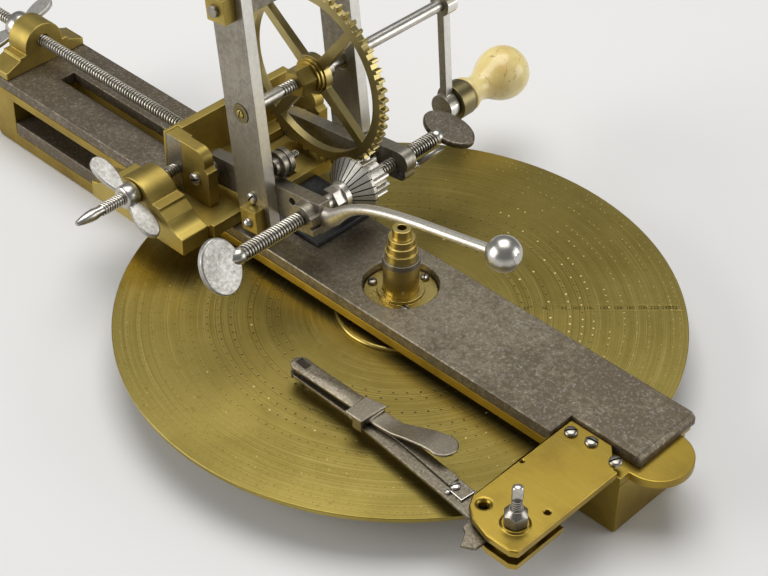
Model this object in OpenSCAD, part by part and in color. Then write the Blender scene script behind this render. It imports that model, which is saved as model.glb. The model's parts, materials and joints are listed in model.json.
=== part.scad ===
// Wheel cutting engine: bench machine that divides and cuts clock wheels.
// Millimetres. X runs along the bed towards the index bracket, Y across the bed, Z up.
// The origin is on the dividing axis, at the underside of the bed.

/* [Bed] */
// Half the width of the upper and lower bars
bar_half = 27.3; // [22:0.1:34]
// Rear end of the bed, as a distance behind the dividing axis
bed_rear = 289; // [260:1:320]
// Front end of the upper bar, ahead of the dividing axis
bed_front = 157; // [150:1:180]
// Height of the brass layer of the lower bar
low_brass = 7.3; // [5:0.1:10]
// Height of the steel layer of the lower bar
low_steel = 8.2; // [5:0.1:10]
// Free height between the lower and the upper bar
bed_gap = 14; // [12.5:0.1:20]
// Height of the brass layer of the upper bar
top_brass = 5; // [4:0.1:8]
// Height of the steel layer of the upper bar
top_steel = 6.5; // [5:0.1:9]
// Width of the slot that guides the saddle
slot_w = 9.6; // [8:0.1:12]
// Radius of the round clamping tab at the front end
tab_r = 17.5; // [12:0.1:20]

/* [Dividing plate] */
// Radius of the dividing plate
plate_r = 140; // [125:1:141]
// Thickness of the dividing plate
plate_t = 2.5; // [2:0.1:4]
// Radius of the collar above the plate
collar_r = 32; // [24:0.5:40]
// Radius of the work arbor in its bearing
arbor_r = 8.85; // [7:0.05:9.5]
// Length of the stepped nose above the steel ring
nose_len = 17.3; // [14:0.1:26]

/* [Index] */
// Distance of the index pivot ahead of the dividing axis
index_x = 139.7; // [136:0.1:142]
// Distance of the index pivot beside the bed axis
index_y = 76.2; // [74:0.1:78]
// Thickness of the index arm
index_t = 2; // [1.6:0.1:2.4]

/* [Carriage] */
// Radius of the leadscrew
lead_r = 3.2; // [2.8:0.1:4.4]
// Height of the leadscrew above the upper bar
lead_h = 14.4; // [14:0.1:18]
// Radius of the cross screw
cross_r = 3.2; // [2.4:0.1:3.4]
// Length of the saddle along the bed
saddle_len = 48.6; // [46:0.1:52]

/* [Swing frame] */
// Tilt of the swing frame in the rest position, degrees
tilt = 7; // [0:0.5:12]
// Distance between the outer faces of the uprights
frame_w = 72.7; // [66:0.1:80]
// Thickness of the uprights
upright_t = 6.4; // [5:0.1:8]
// Width of the uprights
upright_w = 22.2; // [16:0.1:24]
// Height of the uprights above the pivot line
upright_h = 120; // [115:1:140]
// Thickness of the arms
arm_t = 7.2; // [5:0.1:8]
// Half the height of the arms
arm_h = 8.25; // [6:0.05:9]
// Radius of the ball on the hand lever
ball_r = 8.4; // [6:0.1:11]

/* [Gear train] */
// Teeth of the drive wheel
wheel_n = 58; // [58:1:58]
// Leaves of the pinion
pinion_n = 12; // [12:1:12]
// Tooth module of wheel and pinion
gear_m = 1.643; // [1.6:0.001:1.7]
// Thickness of the drive wheel
wheel_t = 4.2; // [3:0.1:5]
// Radius of the drive arbor
drive_r = 3.2; // [2.6:0.1:3.6]
// Length of the crank between centres
crank_len = 61.4; // [45:0.1:63]
// Radius of the cutter
cutter_r = 15.6; // [12:0.1:16.4]

/* [Fits] */
// Running clearance on the radius
run = 0.05; // [0.02:0.01:0.1]
// Air between pieces that move past each other
air = 0.4; // [0.3:0.05:0.6]

/* [Hidden] */
$fn = 64;
lo_top = low_brass + low_steel;
up_bot = lo_top + bed_gap;
up_mid = up_bot + top_brass;
bar_top = up_mid + top_steel;
plate_bot = lo_top + 6.5;
plate_top = plate_bot + plate_t;
brass = "goldenrod";
steel = "silver";
blued = "slategray";
bone = "ivory";
// work arbor heights
ring_z = bar_top + 13.7;
nose_z = ring_z + 3.2;
// bracket
br_x0 = index_x - 21.9;
br_x1 = index_x + 13.8;
br_y = -index_y - 15.8;
br_top = up_mid + 4;
stud_x = index_x + 2.3;
stud_y = index_y + 2.4;
idx_bot = up_mid - 3.7;
idx_top = idx_bot + index_t;
blade_z = idx_bot + 5.2;
// carriage
sad_x1 = -89.4;
sad_x0 = sad_x1 - saddle_len;
sad_z = bar_top + 0.3;
floor_z = bar_top + 5.5;
lip_z = bar_top + 7.5;
lead_z = bar_top + lead_h;
crs_x = -128.5;
crs_z = bar_top + 17.2;
hump_y0 = -57;
hump_y1 = -40;
// cross slide
mid_y = 11.85;
cock_t = 6.3;
cock_out = frame_w / 2 + 5;
plate_y0 = mid_y - cock_out;
plate_y1 = mid_y + cock_out;
slide_z = floor_z + 0.3;
cross_top = bar_top + 36.5;
// swing frame
piv_x = -113.4;
piv_z = bar_top + 19;
up_a = 36.3;
cut_a = 69;
out_y = frame_w / 2;
in_y = out_y - upright_t;
arm_in = in_y - arm_t;
gear_c = gear_m * (wheel_n + pinion_n) / 2;
drive_b = sqrt(gear_c * gear_c - (cut_a - up_a) * (cut_a - up_a));
wheel_rp = gear_m * wheel_n / 2;
pinion_rp = gear_m * pinion_n / 2;
wheel_y = mid_y + 12.55;
crank_y = 116.7;
lock_a = up_a + 7.2;
lock_b = arm_h + 7.6;
head_y = in_y - 1.9;
front_end = mid_y - in_y - 35.4;
back_end = mid_y + head_y + 32;
clamp_a = cut_a + 5.2;
clamp_b = -4.4;
stop_a = 49.5;
stop_b = -(piv_z + (stop_a - 2.2) * sin(tilt) - bar_top - 3.3) / cos(tilt);
tie_b = 104.5;
mesh_ang = atan2(-drive_b, cut_a - up_a);

// Helpers

module box(x0, x1, y0, y1, z0, z1) {
  translate([x0, y0, z0]) cube([x1 - x0, y1 - y0, z1 - z0]);
}
// cylinder along Z between two heights
module zcyl(r, z0, z1) {
  translate([0, 0, z0]) cylinder(r = r, h = z1 - z0);
}
// cylinder along Y between two positions
module ycyl(r, y0, y1) {
  translate([0, y0, 0]) rotate([-90, 0, 0]) cylinder(r = r, h = y1 - y0);
}
// cylinder along X between two positions
module xcyl(r, x0, x1) {
  translate([x0, 0, 0]) rotate([0, 90, 0]) cylinder(r = r, h = x1 - x0);
}
// flat shape drawn in X and Z, given a depth along Y
module xz(y0, y1) {
  translate([0, y1, 0]) rotate([90, 0, 0]) linear_extrude(y1 - y0) children();
}
// flat shape drawn in Y and Z, given a depth along X
module yz(x0, x1) {
  translate([x0, 0, 0]) rotate([90, 0, 90]) linear_extrude(x1 - x0) children();
}
// flat shape drawn in X and Y, given a depth along Z
module xy(z0, z1) {
  translate([0, 0, z0]) linear_extrude(z1 - z0) children();
}
// places of the tilted swing frame: X along the arms, Z up the uprights, pivot at the origin
module swing() {
  translate([piv_x, mid_y, piv_z]) rotate([0, -tilt, 0]) children();
}
// slotted round head of a screw, top at h
module slot_head(r, h) {
  difference() {
    cylinder(r = r, h = h);
    translate([-r - 1, -r * 0.14, h * 0.5]) cube([2 * r + 2, r * 0.28, h]);
  }
}
// round hump with coved wings: half width, wing height, step height, round radius, top height
module hump(w, wing, step, r, top) {
  difference() {
    union() {
      polygon([[-w, 0], [w, 0], [w, wing], [w - 1.2, wing], [r + 4, step - 1.6], [r + 4, step],
        [-r - 4, step],
        [-r - 4, step - 1.6], [-w + 1.2, wing], [-w, wing]]);
      translate([0, top - r]) circle(r = r);
    }
    for (s = [-1, 1]) translate([s * (w - 1), step + 1]) circle(r = min(w - r - 5.4, step - wing + 0.6));
    translate([-w - 1, -r]) square([2 * w + 2, r]);
  }
}
// wing of a wing nut, reaching out along X
module wing2d(l) {
  union() {
    polygon([[0, -3.4], [l - 5.6, -5.1], [l - 5.6, 5.1], [0, 3.4]]);
    translate([l - 5.2, 0]) circle(r = 5.2);
  }
}
// gear outline with straight flanked teeth
module gear2d(n, rp, add, ded, wide, narrow) {
  polygon([for (i = [0 : n - 1])
    let (c = 360 * i / n, w = wide / rp * 28.65, t = narrow / rp * 28.65, f = 360 / n)
    each [[(rp - ded) * cos(c - f / 2), (rp - ded) * sin(c - f / 2)],
      [(rp - ded) * cos(c - w * 1.12), (rp - ded) * sin(c - w * 1.12)],
      [rp * cos(c - w), rp * sin(c - w)],
      [(rp + add) * cos(c - t), (rp + add) * sin(c - t)],
      [(rp + add) * cos(c + t), (rp + add) * sin(c + t)],
      [rp * cos(c + w), rp * sin(c + w)],
      [(rp - ded) * cos(c + w * 1.12), (rp - ded) * sin(c + w * 1.12)]]]);
}

// Bed

module lower_frame_brass() {
  color(brass) difference() {
    union() {
      box(-bed_rear + 19, 118, -bar_half, bar_half, 0, low_brass);
      xz(-bar_half, bar_half) union() {
        translate([-bed_rear, 6]) square([19, up_bot - 6]);
        translate([-bed_rear + 6, 0]) square([13, 8]);
        translate([-bed_rear + 6, 6]) circle(r = 6);
      }
    }
    zcyl(8, 4, low_brass + 1);
  }
}
module lower_bar_steel() {
  color(steel) difference() {
    box(-bed_rear + 19, 118, -bar_half, bar_half, low_brass, lo_top);
    zcyl(8, low_brass - 1, lo_top + 1);
  }
}
module front_end_block() {
  color(brass) difference() {
    union() {
      box(118, bed_front - 2, -23.5, 23.5, 0, lo_top);
      box(plate_r + 1.8, bed_front - 2, -23.5, 23.5, lo_top, up_bot);
    }
    translate([bed_front - 2, 0, 0]) rotate([0, 45, 0]) cube([1.6, 60, 1.6], center = true);
  }
}
module upper_bar_brass() {
  color(brass) difference() {
    union() {
      box(-bed_rear, bed_front - 2, -bar_half, bar_half, up_bot, up_mid);
      translate([bed_front - 1, 0, up_bot + 0.5]) cylinder(r = tab_r, h = top_brass - 0.5);
    }
    zcyl(13, up_bot - 1, up_mid + 1);
    box(-255, -72, -slot_w / 2, slot_w / 2, up_bot - 1, up_mid + 1);
    box(br_x0, bed_front + 4, -bar_half - 1, -23.5, up_bot - 1, up_mid + 1);
  }
}
module upper_bar_steel() {
  color(steel) difference() {
    box(-bed_rear, bed_front, -bar_half, bar_half, up_mid, bar_top);
    zcyl(18.6, up_mid - 1, bar_top + 1);
    box(-255, -72, -slot_w / 2, slot_w / 2, up_mid - 1, bar_top + 1);
    box(br_x0 - 0.1, bed_front + 1, -bar_half - 1, -12.8, up_mid - 1, bar_top + 1);
    translate([bed_front, 0, bar_top]) rotate([0, 45, 0]) cube([3.2, 60, 3.2], center = true);
  }
}
module bearing_flange() {
  color(brass) difference() {
    union() {
      zcyl(18, up_mid, up_mid + 2.2);
      zcyl(11.6, up_mid, up_mid + 4);
      zcyl(13, up_bot, up_mid);
    }
    zcyl(arbor_r + run, up_bot - 1, bar_top);
  }
}
module footstep_bearing() {
  color(brass) difference() {
    zcyl(8, 4, lo_top);
    zcyl(4 + run, 5, lo_top + 1);
  }
}
module frame_screws() {
  color(steel) {
    for (a = [82, 202, 322]) rotate([0, 0, a]) translate([14.8, 0, up_mid + 2.2]) rotate([0, 0, 40])
      slot_head(2.4, 2);
    for (q = [[-16.3, 0, 50], [-5.8, 1.5, 10], [9.5, -0.6, 65]])
      translate([index_x + q[0], -19.9 + q[1], br_top]) rotate([0, 0, q[2]]) slot_head(3.1, 2.2);
  }
}
module leadscrew_block() {
  color(brass) difference() {
    translate([0, 0, bar_top]) yz(-bed_rear, -bed_rear + 15.5) difference() {
      hump(26.8, 4.6, 9.9, 12.5, 24.7);
      translate([0, lead_h]) circle(r = lead_r + air);
    }
  }
}

// Index bracket and its stud

module bracket2d(y1) {
  difference() {
    polygon([[br_x0, y1], [br_x1, y1], [br_x1, br_y + 2], [br_x1 - 3, br_y], [br_x0 + 20, br_y],
      [br_x0 + 9, br_y + 3.2],
      [br_x0 + 3, br_y + 7.6], [br_x0, br_y + 13]]);
    translate([stud_x, -stud_y]) circle(r = 3);
  }
}
module index_bracket_top() {
  color(brass) difference() {
    union() {
      xy(up_mid, br_top) difference() {
        bracket2d(-12.9);
        polygon([[index_x + 1, -12], [br_x1 + 1, -12], [br_x1 + 1, -24], [br_x1 - 2, -24]]);
        translate([index_x - 14.9, -index_y - 3]) circle(r = 2.2);
        translate([index_x + 7.6, -index_y + 12.3]) circle(r = 1.3);
        translate([index_x - 20.2, -index_y + 27.8]) circle(r = 0.8);
      }
      translate([stud_x, -stud_y, br_top]) difference() {
        cylinder(r = 6.4, h = 1);
        translate([0, 0, -1]) cylinder(r = 3, h = 4);
      }
    }
    translate([index_x - 14.9, -index_y - 3, br_top - 1.4]) cylinder(r1 = 2.2, r2 = 3.7, h = 1.5);
  }
}
module index_bracket_bottom() {
  color(brass) {
    xy(idx_bot - 0.3 - 3, idx_bot - 0.3) bracket2d(-59.6);
    box(index_x, br_x1 - 4, -66, -59.6, idx_bot - 0.3, up_mid);
  }
}
module index_stud() {
  color(steel) translate([stud_x, -stud_y, 0]) {
    zcyl(3, idx_bot - 3.3, br_top + 1);
    difference() {
      zcyl(2.5, br_top + 1, br_top + 22.6);
      for (s = [-1, 1]) rotate([0, 0, -46])
        translate([s * 4.5, 0, br_top + 20.6]) cube([6, 8, 9], center = true);
    }
  }
}
module index_nut() {
  color(steel) translate([stud_x, -stud_y, br_top + 1.3]) rotate([0, 0, 12]) difference() {
    intersection() {
      cylinder(r = 5.8, h = 8.2, $fn = 6);
      union() {
        cylinder(r = 5.8, h = 5);
        translate([0, 0, 5]) cylinder(r1 = 5.8, r2 = 3.2, h = 3.2);
      }
    }
    translate([0, 0, -1]) cylinder(r = 2.5 + run, h = 11);
  }
}

// Dividing plate and work arbor

module dividing_plate() {
  color(brass) difference() {
    zcyl(plate_r, plate_bot, plate_top);
    zcyl(arbor_r, plate_bot - 1, plate_top + 1);
  }
}
module plate_collar() {
  color(brass) difference() {
    union() {
      zcyl(collar_r, plate_top, plate_top + 1.2);
      translate([0, 0, plate_top + 1.2]) cylinder(r1 = collar_r, r2 = collar_r - 1, h = 0.8);
    }
    zcyl(arbor_r, plate_top - 1, plate_top + 3);
  }
}
module work_arbor() {
  color(brass) difference() {
    union() {
      zcyl(4, 5.6, lo_top + 0.7);
      zcyl(20, lo_top + 0.7, plate_bot);
      zcyl(arbor_r, plate_bot, ring_z);
      zcyl(8, ring_z, nose_z + 4.1);
      zcyl(7.2, nose_z + 4.1, nose_z + 8.1);
      zcyl(6.6, nose_z + 8.1, nose_z + 12.1);
      zcyl(4.6, nose_z + 12.1, nose_z + nose_len);
    }
    zcyl(2.2, nose_z + nose_len - 10, nose_z + nose_len + 1);
  }
}
module arbor_ring() {
  color(steel) difference() {
    zcyl(arbor_r + 0.45, ring_z, nose_z);
    zcyl(8, ring_z - 1, nose_z + 1);
  }
}

// Index arm

module arm2d() {
  union() {
    polygon([[3, -75.8], [40, -76.7], [54.5, -78.7], [index_x - 39, -index_y - 7],
      [index_x - 17.7, -index_y - 9.4],
      [index_x - 2, -index_y - 9.7], [index_x - 2, -index_y + 8], [index_x - 26, -index_y + 4.4],
        [37, -65.4], [3, -65.9]]);
    translate([4, -70.8]) circle(r = 4.9);
    translate([stud_x, -stud_y]) circle(r = 9.8);
    polygon([[index_x - 17.7, -index_y - 9.2], [index_x - 16.5, -index_y - 11.8],
      [index_x - 16, -index_y - 15],
      [index_x - 13, -index_y - 16.9], [index_x - 9.5, -index_y - 23.9], [index_x - 3.5, -index_y - 20.5],
      [index_x - 3, -index_y - 9]]);
  }
}
module index_arm() {
  color(steel) union() {
    xy(idx_bot, idx_top) difference() {
      arm2d();
      translate([stud_x, -stud_y]) circle(r = 3 + run);
      translate([4.6, -70.4]) square(5.4, center = true);
    }
    xy(idx_top, up_mid - 0.3) translate([stud_x, -stud_y]) difference() {
      circle(r = 7);
      circle(r = 3 + run);
    }
    translate([index_x - 33, -index_y - 0.9, idx_top]) rotate([0, 0, 30]) slot_head(2, 1.6);
  }
}
module index_spring() {
  color(steel) union() {
    xy(blade_z, blade_z + 1.2) union() {
      polygon([[4, -75.8], [21, -75.6], [51.4, -75.3], [51.4, -66.4], [34, -66.9], [12, -66.9],
        [4, -66.6]]);
      translate([4, -71.2]) circle(r = 4.6);
    }
    xy(idx_top + 0.3, idx_top + 1.4)
      polygon([[44, -75.3], [53, -74.6], [67, -73.8], [84, -75.7], [104, -78.2], [104, -71.8],
        [72, -69], [53, -67.4], [44, -67]]);
    box(44, 51.4, -75.2, -67.2, idx_top + 0.3, blade_z + 0.6);
    translate([4.6, -70.4, plate_top + 2.2]) cylinder(r = 1.6, h = blade_z + 0.4 - plate_top - 2.2);
    translate([4.6, -70.4, plate_top + 0.3]) cylinder(r1 = 0.3, r2 = 1.6, h = 1.9);
  }
}
module thumb_lever() {
  color(steel) union() {
    xy(blade_z + 1.2, blade_z + 2.6) polygon([[42, -80.2], [52.4, -80.2], [52.4, -76.6],
      [53.4, -64.4], [42, -66.7]]);
    box(51.4, 52.4, -76.6, -65.4, idx_top + 1.4, blade_z + 1.2);
    box(46.4, 52.4, -80.2, -79, idx_bot + 0.6, blade_z + 1.2);
    intersection() {
      xz(-90, -40) polygon([[52.4, idx_top + 1.6], [60, idx_top + 1.7], [66, idx_top + 2.1],
        [74, idx_top + 3.8],
        [82, idx_top + 5.2], [97, idx_top + 5.9], [97, idx_top + 7.3], [82, idx_top + 6.8],
          [73, idx_top + 5.4],
        [65, idx_top + 3.7], [59, idx_top + 3.3], [52.4, idx_top + 3.3]]);
      xy(idx_top, idx_top + 15) union() {
        polygon([[52.4, -75.4], [60, -74.9], [66, -74.5], [71, -73.9], [79, -73.3], [88, -72.6],
          [88, -59.5], [81, -61],
          [73, -63.4], [65, -65.6], [57, -65.9], [52.4, -65.6]]);
        translate([89.2, -66.2]) circle(r = 6.8);
      }
    }
  }
}

// Saddle

module saddle() {
  color(brass) difference() {
    union() {
      box(sad_x0, sad_x1, hump_y1, 60, sad_z, floor_z);
      box(sad_x1 - 3.6, sad_x1, hump_y1, 60, floor_z, lip_z);
      box(sad_x0 - 11, sad_x0, -9, 9, sad_z, lead_z + lead_r + 3);
    }
    translate([0, 0, lead_z]) xcyl(lead_r, sad_x0 - 12, sad_x0 + 1);
    box(-103, -95, 8, 22, sad_z - 1, floor_z + 1);
    for (x = [-128, -108]) translate([x, 0, 0]) zcyl(3, sad_z - 1, floor_z + 1);
  }
}
module cross_screw_block() {
  color(brass) translate([crs_x, 0, bar_top - 2]) xz(hump_y0, hump_y1) difference() {
    union() {
      hump(35, 7.9, 18.6, 15, 26.5);
      translate([-35, -2]) square([70, 2.1]);
    }
    translate([0, crs_z - bar_top + 2]) circle(r = cross_r + air);
  }
}
module leadscrew() {
  color(steel) translate([0, 0, lead_z]) xcyl(lead_r, -bed_rear - 38, sad_x0);
}
module saddle_tongue() {
  color(blued) union() {
    box(sad_x1, -48, -9, 30, bar_top + 0.4, bar_top + 2.9);
  }
}
module saddle_keeper() {
  color(brass) union() {
    box(-135, -98, -22, 22, up_bot - 3.3, up_bot - 0.3);
    for (x = [-128, -108]) translate([x, 0, 0]) zcyl(3, up_bot - 0.3, floor_z);
  }
}

// Wing nuts

module leadscrew_wing_nut() {
  color(steel) translate([-bed_rear - air, 0, lead_z]) difference() {
    union() {
      xcyl(8, -9, 0);
      for (s = [0, 180]) rotate([s - 76, 0, 0]) translate([-4.5, 0, 0]) rotate([0, -8, 0])
        rotate([90, -90, 0])
        translate([0, 0, -1.3]) linear_extrude(2.6) translate([3, 0]) wing2d(22);
    }
    xcyl(lead_r + run, -20, 20);
  }
}
module cross_wing_nut() {
  color(steel) translate([crs_x, hump_y0 - air, crs_z]) difference() {
    union() {
      ycyl(6.3, -7.6, 0);
      for (s = [0, 180]) rotate([0, s + 27, 0]) translate([0, -4.2, 0]) rotate([0, 0, -4])
        xy(-1.3, 1.3) translate([3, 0]) wing2d(23);
    }
    ycyl(cross_r + run, -20, 20);
  }
}

// Cross slide

module cross_plate() {
  color(brass) difference() {
    union() {
      box(-137, -131.8, plate_y0, plate_y1, slide_z, cross_top);
      box(-137, -123.5, plate_y0 + 8, plate_y1, slide_z, slide_z + 5);
    }
    box(-135, -120, plate_y0 - 1, plate_y0 + 8, slide_z - 1, cross_top + 1);
  }
}
module cross_nut_block() {
  color(steel) box(-135, -123.5, plate_y0, plate_y0 + 8, slide_z, cross_top - 0.4);
}
module cock2d() {
  difference() {
    union() {
      translate([-123.5, slide_z]) square([19.5, 20.2]);
      translate([-123.5, slide_z]) square([10, cross_top - slide_z]);
      translate([-113.5, cross_top - 7]) circle(r = 7);
      translate([-114, slide_z]) square([10, 18.4]);
      polygon([[-114, slide_z + 10], [-104, slide_z + 10], [-104, slide_z + 19.6],
        [-106.6, slide_z + 21.6], [-114, slide_z + 22]]);
    }
    translate([piv_x, piv_z]) circle(r = 2.6);
  }
}
module pivot_cocks() {
  color(brass) {
    xz(plate_y0, plate_y0 + cock_t) cock2d();
    xz(plate_y1 - cock_t, plate_y1) cock2d();
  }
}
module pivot_screws() {
  color(steel) translate([piv_x, mid_y, piv_z]) for (s = [0, 180]) rotate([0, 0, s]) {
    ycyl(2.6, -cock_out, -cock_out + cock_t);
    ycyl(2, -cock_out + cock_t, -arm_in - 2);
    translate([0, -cock_out, 0]) rotate([90, 0, 0]) slot_head(3.4, 2.2);
  }
}
module cross_screw() {
  color(steel) translate([crs_x, 0, crs_z]) {
    ycyl(cross_r, -69, plate_y0);
    translate([0, -69, 0]) rotate([90, 0, 0]) cylinder(r1 = cross_r, r2 = cross_r - 0.2, h = 5);
    translate([0, -74, 0]) rotate([90, 0, 0]) cylinder(r1 = cross_r - 0.2, r2 = 1.6, h = 20);
  }
}

// Swing frame

module upright2d() {
  difference() {
    translate([up_a - upright_w / 2, -17]) square([upright_w, upright_h + 17]);
    translate([up_a, drive_b]) circle(r = 5);
    translate([up_a, tie_b]) circle(r = 3);
  }
}
module front_upright() {
  color(steel) swing() xz(-out_y, -in_y) upright2d();
}
module back_upright() {
  color(steel) swing() xz(in_y, out_y) upright2d();
}
module arm_body2d(tail) {
  union() {
    circle(r = arm_h);
    translate([0, -arm_h]) square([tail, 2 * arm_h]);
  }
}
module front_arm() {
  color(steel) swing() difference() {
    union() {
      xz(-in_y, -arm_in) difference() {
        arm_body2d(cut_a + 8.5);
        translate([58.2, 2.7]) circle(r = 2.1);
      }
      ycyl(5, -cock_out + cock_t + 0.3, -in_y);
      translate([cut_a, 0, 0]) ycyl(7.4, -in_y - 5.4, -in_y);
      box(cut_a - 2, cut_a + 8.5, -in_y - 5.4, -in_y, -7.2, -3.6);
      box(cut_a - 2, cut_a + 8.5, -in_y - 5.4, -in_y, -1.8, 3);
    }
    ycyl(2 + run, -60, 0);
    translate([cut_a, 0, 0]) ycyl(3.25 + run, -60, 0);
  }
}
module back_arm() {
  color(steel) swing() difference() {
    union() {
      xz(arm_in, in_y) arm_body2d(56);
      xz(head_y, head_y + 7) difference() {
        union() {
          translate([up_a + upright_w / 2 + 0.8,
            -arm_h]) square([cut_a - up_a - upright_w / 2 + 3.8, 2 * arm_h]);
          translate([cut_a + 4.6, 2.2]) circle(r = arm_h - 2.2);
          translate([cut_a + 4.6, -4.2]) circle(r = arm_h - 4.2);
          translate([cut_a + 4, -4.2]) square([arm_h - 3.6, 6.4]);
        }
        translate([58.2, 2.7]) circle(r = 2.1);
        translate([clamp_a, clamp_b]) circle(r = 1.8 + run);
      }
      ycyl(5, in_y, cock_out - cock_t - 0.3);
      box(stop_a - 3.5, stop_a + 3.5, 6.2, arm_in, -arm_h, -3);
    }
    ycyl(2 + run, 0, 60);
    translate([cut_a, 0, 0]) ycyl(3.25 + run, 0, 60);
    translate([stop_a, 10, 0]) zcyl(2.2, -20, 0);
  }
}
module depth_stop() {
  color(steel) swing() translate([stop_a, 10, 0]) union() {
    zcyl(2.2, stop_b, -3);
    translate([0, 0, -arm_h - 3.2]) cylinder(r = 4.4, h = 3.2, $fn = 6);
  }
}
module top_tie_bar() {
  color(steel) swing() union() {
    box(up_a - 6, up_a + 6, -in_y, in_y, tie_b - 6.4, tie_b + 6.4);
    translate([up_a, 0, tie_b]) ycyl(3, -out_y - 9, out_y + 9);
  }
}
module tie_nuts() {
  color(brass) swing() translate([up_a, 0, tie_b]) for (s = [0, 180]) rotate([0, 0, s]) difference() {
    translate([0, -out_y, 0]) rotate([90, 0, 0]) rotate([0, 0, 45]) cylinder(r = 8.9, h = 7, $fn = 4);
    ycyl(3, -out_y - 12, 0);
  }
}
module swing_screws() {
  color(steel) swing() for (s = [0, 180])
    rotate([0, 0, s]) translate([s == 0 ? 0 : -2 * up_a, -out_y, 0]) {
    translate([up_a - 0.2, 0, 0]) rotate([90, 0, 0]) rotate([0, 0, 65]) slot_head(3.1, 2);
    translate([s == 0 ? up_a + 1.9 : up_a - 1.9, -6, -10.6]) sphere(r = 2.8);
  }
}
module foot_blocks() {
  color(brass) swing() for (y = [-out_y - 6, out_y]) difference() {
    xz(y, y + 6) translate([up_a - 3.6, -16]) square([11.2, 12.6]);
    translate([up_a + 1.9, y < 0 ? -out_y - 6 : out_y + 6, -10.6]) sphere(r = 2.8);
  }
}
module drive_bushes() {
  color(brass) swing() translate([up_a, 0, drive_b]) {
    difference() {
      ycyl(5, -out_y - 0.5, -in_y);
      ycyl(2.4 + run, -out_y - 2, 0);
    }
    difference() {
      ycyl(5, in_y, out_y + 0.8);
      ycyl(drive_r + run, 0, out_y + 2);
    }
  }
}
module ball_lever() {
  color(steel) swing() union() {
    xz(-in_y + 0.4, -arm_in - 1) polygon([[cut_a + 8.5, -5], [cut_a + 13, -3], [cut_a + 18, 1.2],
      [cut_a + 24, 6.6], [cut_a + 32, 11.2],
      [cut_a + 42, 14.6], [cut_a + 61, 18.2], [cut_a + 87, 20.7], [cut_a + 117, 23.6],
        [cut_a + 117, 27.8], [cut_a + 87, 25],
      [cut_a + 61, 22.6], [cut_a + 42, 19.2], [cut_a + 31, 15.8], [cut_a + 22, 11.2],
        [cut_a + 15, 6.6], [cut_a + 8.5, 5.6]]);
    translate([cut_a + 123.4, -in_y + 3.6, 26.3]) sphere(r = ball_r);
  }
}
module lock_stud() {
  color(steel) swing() translate([lock_a, 0, lock_b]) ycyl(2, -in_y, -in_y + 19.6);
}
module lock_nut() {
  color(steel) swing() translate([lock_a, 0, lock_b]) difference() {
    union() {
      ycyl(4.4, -in_y + 2, -in_y + 5);
      ycyl(6.8, -in_y + 5, -in_y + 7.6);
      ycyl(5.8, -in_y + 7.6, -in_y + 9);
      ycyl(6.8, -in_y + 9, -in_y + 12);
    }
    ycyl(2 + run, -60, 60);
  }
}

// Drive

module at_drive() {
  swing() translate([up_a, -mid_y, drive_b]) children();
}
module at_cutter() {
  swing() translate([cut_a, -mid_y, 0]) children();
}
module drive_arbor() {
  color(steel) at_drive() union() {
    ycyl(2.4, mid_y - out_y - 0.2, mid_y - in_y + 0.4);
    ycyl(drive_r, mid_y - in_y + 0.4, crank_y);
  }
}
module drive_wheel() {
  color(brass) at_drive() xz(wheel_y - wheel_t / 2, wheel_y + wheel_t / 2) difference() {
    union() {
      difference() {
        rotate(mesh_ang) gear2d(wheel_n, wheel_rp, 1.05, 1.4, 2.1, 1.3);
        circle(r = wheel_rp - 6.2);
      }
      circle(r = 10.5);
      for (a = [0 : 90 : 270]) rotate(a + 46) polygon([[0, -3], [wheel_rp - 4, -2.4],
        [wheel_rp - 4, 2.4], [0, 3]]);
    }
    circle(r = drive_r);
  }
}
module wheel_nut() {
  color(brass) at_drive() difference() {
    union() {
      translate([0, wheel_y - wheel_t / 2 - 3, 0]) rotate([90, 0, 0]) cylinder(r = 8.8, h = 11, $fn = 6);
      ycyl(9.6, wheel_y - wheel_t / 2 - 1.6, wheel_y - wheel_t / 2);
      ycyl(8.9, wheel_y - wheel_t / 2 - 3, wheel_y - wheel_t / 2 - 1.6);
    }
    ycyl(drive_r, -60, 60);
  }
}
module wheel_collar() {
  color(steel) at_drive() difference() {
    ycyl(5.4, wheel_y + wheel_t / 2, wheel_y + wheel_t / 2 + 6.5);
    ycyl(drive_r, -60, 60);
  }
}
module at_crank() {
  at_drive() rotate([0, tilt - 4.8, 0]) children();
}
module crank_arm() {
  color(steel) at_crank() union() {
    difference() {
      union() {
        ycyl(6.4, crank_y - 3, crank_y + 4.6);
        translate([0, 0, -crank_len]) ycyl(7.4, crank_y - 4.2, crank_y + 3);
        translate([0, crank_y, -crank_len / 2]) cube([4.7, 5, crank_len - 6], center = true);
      }
      ycyl(drive_r, crank_y - 5, crank_y);
    }
    translate([0, 0, -crank_len]) ycyl(3, crank_y + 3, crank_y + 52);
  }
}
module ferrule() {
  color(brass) at_crank() translate([0, 0, -crank_len]) difference() {
    union() {
      ycyl(10.2, crank_y + 3.3, crank_y + 12.4);
      ycyl(9.2, crank_y + 12.4, crank_y + 14);
    }
    ycyl(3 + run, crank_y, crank_y + 20);
  }
}
module knob() {
  color(bone) at_crank() translate([0, crank_y + 14, -crank_len]) difference() {
    rotate([-90, 0, 0]) union() {
      cylinder(r1 = 9.7, r2 = 7.5, h = 6);
      translate([0, 0, 6]) cylinder(r = 7.5, h = 6);
      translate([0, 0, 12]) cylinder(r1 = 7.5, r2 = 13, h = 11);
      translate([0, 0, 30]) sphere(r = 15);
    }
    ycyl(3 + run, -1, 39.2);
  }
}

// Cutter spindle

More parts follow.
